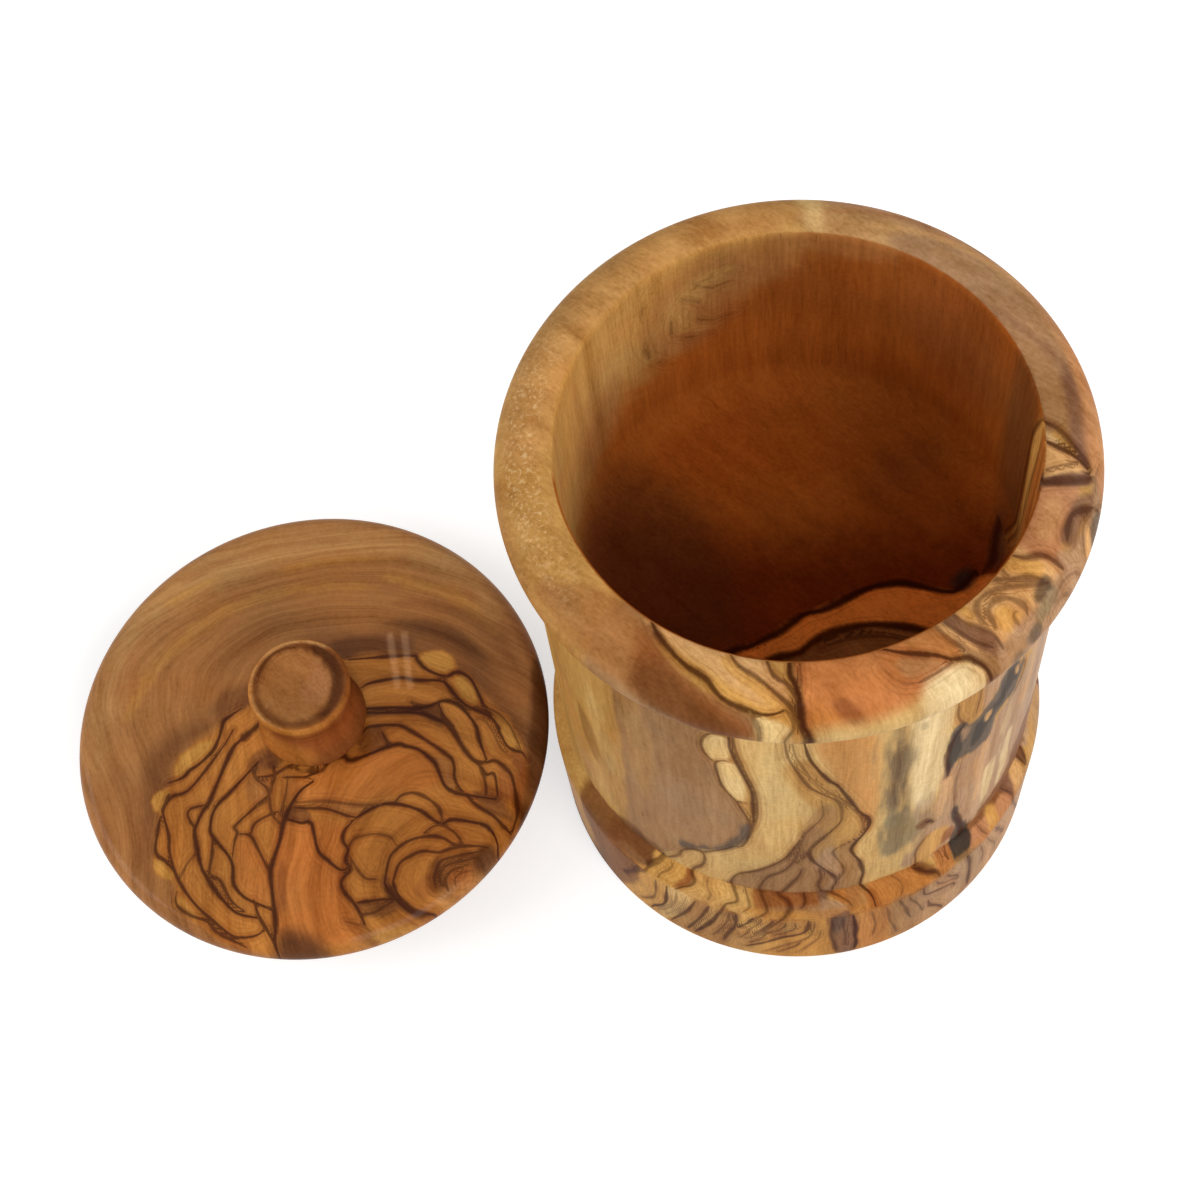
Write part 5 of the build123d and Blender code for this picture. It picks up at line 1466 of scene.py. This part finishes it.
@dataclass
class Lid:
    """The lid: a domed disc over a spigot, with the dowel's hole, and its figure with painted shade on its right
    edge. Sizes in mm.
    """

    place: Place = (-107.0, 0.0, 0.0)
    radius: float = 52.8
    edge_round: float = 4.0
    spigot_radius: float = 41.4
    spigot_length: float = 8.0
    spigot_edge: float = 0.8
    dome_rise: float = 2.6
    flat_radius: float = 13.2
    hole_radius: float = 3.05
    hole_depth: float = 8.5
    hole_shift: float = 1.4
    coarse_ring: float = 15.0
    columns: int = 700
    body: str = "lid_with_knob"
    node: str = "lid"
    slot: str = "lid_wood"
    finish: Finish = Finish("lid_olive_wood", Cut.RINGED, (-107.0 + 12.0, -20.0), contrast=1.5, gloss=0.34, coat=0.1,
                            spec=0.1, ior=1.3, drift=(-107.0 + 34.0, -36.0))

    def dome(self) -> tuple[float, float]:
        """Radius and middle height of the dome's sphere, tangent to the edge's round."""
        span = self.edge_round + self.dome_rise
        reach = self.radius - self.edge_round
        radius = (reach**2 + span**2 - self.edge_round**2) / (2 * self.dome_rise)
        return radius, self.spigot_length + 2 * self.edge_round + self.dome_rise - radius

    def seat(self) -> float:
        """Height of the flat that the knob stands on."""
        radius, middle = self.dome()
        return middle + math.sqrt(radius**2 - self.flat_radius**2)

    def outline(self) -> tuple[Rows, tuple[range, ...]]:
        """Rows from the bottom of the dowel's hole over the dome to the spigot's underside."""
        radius, middle = self.dome()
        seat, shift = self.seat(), self.hole_shift
        rows = Rows()
        rows.run(np.array([0.0]), np.array([seat - self.hole_depth]), 0, shift)
        rows.line((self.hole_radius, seat - self.hole_depth), (self.hole_radius, seat - 0.2), 4.0, 0, (shift, shift))
        rows.line((self.hole_radius + 0.1, seat), (self.flat_radius, seat), 1.6, 0, (shift, 0.0))
        start = math.degrees(math.acos(self.flat_radius / radius))
        join = math.degrees(math.atan2(self.spigot_length + self.edge_round - middle, self.radius - self.edge_round))
        split = start - math.degrees(self.coarse_ring / radius)
        rows.arc((0, middle), radius - SKIN, start, split, 0.45)
        inner = len(rows.r)
        rows.arc((0, middle), radius - SKIN, split, join, 0.44)
        edge = (self.radius - self.edge_round, self.spigot_length + self.edge_round)
        rows.arc(edge, self.edge_round - SKIN, join, -90, 0.5)
        under = len(rows.r)
        rows.line((edge[0], self.spigot_length + SKIN), (self.spigot_radius, self.spigot_length + SKIN), 2.5)
        rows.line((self.spigot_radius - SKIN, self.spigot_length), (self.spigot_radius - SKIN, self.spigot_edge), 1.8)
        rows.line((self.spigot_radius - SKIN, self.spigot_edge), (self.spigot_radius - self.spigot_edge, 0), 0.6)
        rows.line((self.spigot_radius - self.spigot_edge, 0), (0.0, 0), 4.0)
        rows.run(np.array([0.0]), np.array([0.0]))
        return rows, (range(inner), range(under, len(rows.r)))

    def build(self, groups: dict[str, bpy.types.NodeTree]) -> bpy.types.Object:
        """Builds, dresses and hangs the lid on its body.

        Args:
            groups: the shared node groups.

        Returns:
            The lid's object.
        """
        rows, coarse = self.outline()
        shell = turn(rows, np.arange(self.columns) * 360 / self.columns, coarse)
        canvas = Canvas(shell.points[:, :2], (1.0, 1.0), Tone.BROWN, mesh_step=0.45)
        canvas.paint(LID_PATCHES, LID_VEINS)
        # No veins below the disc's edge
        low = shell.points[:, 2] < self.spigot_length + 0.6 * self.edge_round
        canvas.gap[low], canvas.offset[low] = FAR, FAR
        piece = make_piece("turned_lid", shell, self.place, canvas)
        piece.data.materials.append(self.finish.make(groups))
        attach(piece, self.body)
        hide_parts(self.node)
        return piece


# Figure of the knob, with painted light and shade on its dish, rim and sides: degrees round the axis, and mm from the
# middle of its top, over the rim and down
# painted highlight: a pale line along the rim at the back and on the left, where it faces the light
# painted light and shade on the dish: lighter rose on its right half, then a dark ring of painted shade round its
# inner slope, widest on the right
# painted shade on the right side and round the foot, and painted light low on the front left
KNOB_PATCHES = read_patches("""
brown 1 .9 0: -200,-1 200,-1 200,8.6 -200,8.6
rose 2 .5 .4: -60,1 30,2 60,7 -10,7.6 -50,6
umber .6 .9 .4: -200,8.9 -150,8.2 -90,8.4 -60,8.2 -10,7.6 40,7.7 80,8.3 130,9 200,8.9 200,10.1 -200,10.1
umber .7 .9 .4: -64,7.9 -10,7 40,7.1 76,7.8 76,9.9 -64,9.9
chocolate .5 .85 .3: -50,8.4 0,7.6 70,8.2 70,9.9 -50,9.9
flesh .4 .9 .1: 60,10.2 130,10 200,10.2 200,11.2 60,11.4
flesh .4 .7 .1: -200,10.2 -120,10.2 -110,11 -200,11.4
honey .6 .9 .3: -200,10.6 -140,10.4 -60,10.4 20,10.8 200,10.6 200,14.6 -20,15.4 -60,17.6 -120,17 -200,14.8
russet 1.4 .8 .4: -200,14.8 200,14.8 200,34 -200,34
russet 2.4 .6 .4: -60,13 60,13 60,34 -60,34
umber 2 .6 .4: -90,25 20,24 60,25 60,34 -90,34
honey 2 .6 .4: -160,22 -90,22 -90,28 -160,28
""")
# painted shade lines: a dark line inside the rim at the back left, and one under the cap's edge in front
KNOB_SHADE_LINES = read_veins("""
.3 .45: 96,8.9 120,9.4 150,9.2 172,8.8
.3 .4: -130,16 -100,16.4 -70,15.6 -50,15.8
""")


@dataclass
class Knob:
    """The knob: a spool with a flared foot, a neck and a dished cap. Sizes in mm above its seat."""

    place_x: float = -105.6
    height: float = 18.7
    seat_radius: float = 11.3
    foot: tuple[float, float] = (11.9, 2.2)
    neck: tuple[float, float] = (9.8, 9.8)
    cap: tuple[float, float] = (11.0, 17.5)
    rim_radius: float = 10.5
    dish_depth: float = 0.8
    hole_radius: float = 3.05
    hole_depth: float = 9.0
    chart_radius: float = 10.0
    columns: int = 240
    body: str = "lid_with_knob"
    node: str = "lid_knob"
    slot: str = "knob_wood"
    finish: Finish = Finish("knob_olive_wood", Cut.UPRIGHT, contrast=1.0, gloss=0.28)

    def outline(self) -> Rows:
        """Rows from the middle of the dish over the rim and down to the hole in the foot."""
        rows = Rows()
        low = self.height - self.dish_depth
        dish = np.linspace(0, self.rim_radius - 0.25, 16)
        rows.run(dish, low + self.dish_depth * (dish / self.rim_radius) ** 2)
        # The rim is a quarter of an ellipse from the top to the cap's widest part
        a = np.radians(np.linspace(80, 0, 12))
        rim_x = dish[-1]
        rows.run(rim_x + (self.cap[0] - rim_x) * np.cos(a),
                 self.cap[1] + (self.height - self.cap[1]) * np.sin(a))
        # Between cap, neck and foot the radius eases by a cubic that is upright at both its ends
        t = np.arange(14) / 14
        for start, end in ((self.cap, self.neck), (self.neck, self.foot)):
            rows.run((2 * t**3 - 3 * t**2 + 1) * start[0] + (3 * t**2 - 2 * t**3) * end[0],
                     start[1] + (end[1] - start[1]) * t)
        a = np.linspace(0, 1, 8)
        inset = self.foot[0] - self.seat_radius
        rows.run(self.foot[0] - inset * a**2, self.foot[1] * (1 - a))
        rows.run(np.array([7.0, self.hole_radius + 0.1]), np.zeros(2))
        rows.line((self.hole_radius, 0.1), (self.hole_radius, self.hole_depth), 3.0)
        rows.run(np.array([self.hole_radius, 0.0]), np.array([self.hole_depth, self.hole_depth]))
        return rows

    def build(self, groups: dict[str, bpy.types.NodeTree], seat: float) -> bpy.types.Object:
        """Builds, dresses and hangs the knob on its body.

        Args:
            groups: the shared node groups.
            seat: height of the flat that the knob stands on, in mm.

        Returns:
            The knob's object.
        """
        rows = self.outline()
        shell = turn(rows, np.arange(self.columns) * 360 / self.columns - 180)
        r, z = np.asarray(rows.r), np.asarray(rows.z)
        along = np.concatenate([[0], np.cumsum(np.hypot(np.diff(r), np.diff(z)))])
        scale = (math.radians(1) * self.chart_radius, 1.0)
        canvas = Canvas(np.c_[shell.angle, along[shell.row]], scale, Tone.RUSSET, mesh_step=0.3)
        # The patches and lines lay the wood's colours and also painted light and shade on the dish, the rim and the
        # sides
        canvas.paint(KNOB_PATCHES, KNOB_SHADE_LINES)
        piece = make_piece("turned_knob", shell, (self.place_x, 0.0, seat), canvas)
        piece.data.materials.append(self.finish.make(groups))
        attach(piece, self.body)
        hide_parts(self.node)
        return piece


@dataclass
class Dowel:
    """The dowel in the knob and the lid: the solid itself, dressed in bare wood."""

    node: str = "knob_dowel"
    finish: Finish = Finish("bare_dowel_wood", Cut.UPRIGHT, contrast=0.35, gloss=0.5, plain=Tone.GOLD)

    def dress(self, groups: dict[str, bpy.types.NodeTree]) -> bpy.types.Object:
        """Gives the solid its material."""
        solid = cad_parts[self.node]
        solid.data.materials.clear()
        solid.data.materials.append(self.finish.make(groups))
        return solid


# ---------------------------------------------------------------------------------------------
# Camera, lights and floor


@dataclass
class Studio:
    """Camera, lights and floor. Lengths in mm, angles in degrees."""

    camera_place: Place = (-8.195, -195.143, 475.07)
    heading: float = 8.751
    tilt_down: float = 63.811
    roll: float = 9.715
    lens: float = 68.154
    sensor: float = 36.0
    clip: tuple[float, float] = (0.01, 20.0)  # in m
    room_tint: Place = (1.0, 0.99, 0.97)
    room_strength: float = 0.33
    window_tint: Place = (1.0, 0.6, 0.34)
    floor_white: float = 0.6
    floor_half: float = 3.0  # in m

    def camera(self) -> None:
        """Sets up the photograph's camera: turned by its heading, tilted down, then rolled."""
        data = bpy.data.cameras.new("photo_camera")
        data.lens, data.sensor_width = self.lens, self.sensor
        data.clip_start, data.clip_end = self.clip
        camera = bpy.data.objects.new("photo_camera", data)
        turned = (Matrix.Rotation(math.radians(self.heading), 4, "Z")
                  @ Matrix.Rotation(math.radians(90 - self.tilt_down), 4, "X")
                  @ Matrix.Rotation(math.radians(-self.roll), 4, "Z"))
        camera.matrix_world = Matrix.Translation([v * MM for v in self.camera_place]) @ turned
        bpy.context.scene.collection.objects.link(camera)
        bpy.context.scene.camera = camera

    def lamp(self, name: str, place: Place, aim: Place, size: tuple[float, float], power: float,
             tint: Place = (1.0, 1.0, 1.0)) -> None:
        """Adds a soft rectangular lamp.

        Args:
            name: the lamp's name.
            place: where it hangs, in m.
            aim: the point that it faces, in m.
            size: its width and height in m.
            power: its power in W.
            tint: its colour.
        """
        data = bpy.data.lights.new(name, "AREA")
        data.shape, (data.size, data.size_y), data.energy = "RECTANGLE", size, power
        data.color = tint
        lamp = bpy.data.objects.new(name, data)
        lamp.location = place
        back = lamp.location - type(lamp.location)(aim)
        lamp.rotation_euler = back.to_track_quat("Z", "Y").to_euler()
        bpy.context.scene.collection.objects.link(lamp)

    def lights(self) -> None:
        """Lights the table: an even pale room, two panes of a window behind and three soft lamps."""
        world = bpy.data.worlds.new("pale_room")
        world.use_nodes = True
        pen = Pen(world.node_tree)
        world.node_tree.nodes.clear()
        plain, white = pen.node("ShaderNodeBackground"), pen.node("ShaderNodeBackground")
        plain.inputs["Color"].default_value = (*self.room_tint, 1)
        plain.inputs["Strength"].default_value = self.room_strength
        white.inputs["Color"].default_value = (1, 1, 1, 1)
        mixed = pen.node("ShaderNodeMixShader")
        for socket, value in zip(mixed.inputs, (pen.seen(), plain.outputs[0], white.outputs[0])):
            pen.feed(socket, value)
        pen.feed(pen.node("ShaderNodeOutputWorld").inputs[0], mixed.outputs[0])
        bpy.context.scene.world = world
        middle, glint = (-0.05, 0.0, 0.07), (-0.087, 0.014, 0.018)
        for number, x in enumerate((-0.1888, -0.1652)):
            self.lamp(f"window_pane_{number}", (x, 0.547, 1.033), glint, (0.012, 0.11), 0.1, self.window_tint)
        self.lamp("soft_front", (0.45, -1.05, 0.8), middle, (0.9, 0.9), 11.5)
        self.lamp("soft_left", (-1.1, -0.1, 0.6), middle, (0.8, 0.6), 7.0)
        self.lamp("soft_right", (1.1, 0.2, 0.75), middle, (0.8, 0.6), 8.5)

    def floor(self) -> None:
        """Lays a white floor that shows the camera white and keeps the object's shadow."""
        mesh = bpy.data.meshes.new("table_top")
        side = self.floor_half
        mesh.from_pydata([(-side, -side, 0), (side, -side, 0), (side, side, 0), (-side, side, 0)], [], [(0, 1, 2, 3)])
        top = bpy.data.objects.new("table_top", mesh)
        bpy.context.scene.collection.objects.link(top)
        material = bpy.data.materials.new("white_table")
        material.use_nodes = True
        material.node_tree.nodes.clear()
        pen = Pen(material.node_tree)
        matt = pen.node("ShaderNodeBsdfDiffuse")
        matt.inputs["Color"].default_value = (*[self.floor_white] * 3, 1)
        glow = pen.node("ShaderNodeEmission")
        pen.feed(glow.inputs["Strength"], pen.math("MULTIPLY", pen.seen(), self.floor_white))
        joined = pen.node("ShaderNodeAddShader")
        pen.feed(joined.inputs[0], matt.outputs[0])
        pen.feed(joined.inputs[1], glow.outputs[0])
        pen.feed(pen.node("ShaderNodeOutputMaterial").inputs[0], joined.outputs[0])
        mesh.materials.append(material)

    def set_up(self) -> None:
        """Builds the whole studio."""
        self.camera()
        self.lights()
        self.floor()
        bpy.context.scene.view_settings.view_transform = "Standard"


def main() -> None:
    """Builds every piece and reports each."""
    logging.basicConfig(level=logging.INFO, format="%(message)s")
    groups = {"vein": vein_group(), "grain": grain_group(), "surface": surface_group()}
    Studio().set_up()
    lid = Lid()
    for piece in (Bowl().build(groups), lid.build(groups), Knob().build(groups, lid.seat()), Dowel().dress(groups)):
        LOG.info("%s: %d faces", piece.name, len(piece.data.polygons))


if __name__ == "__main__":
    main()
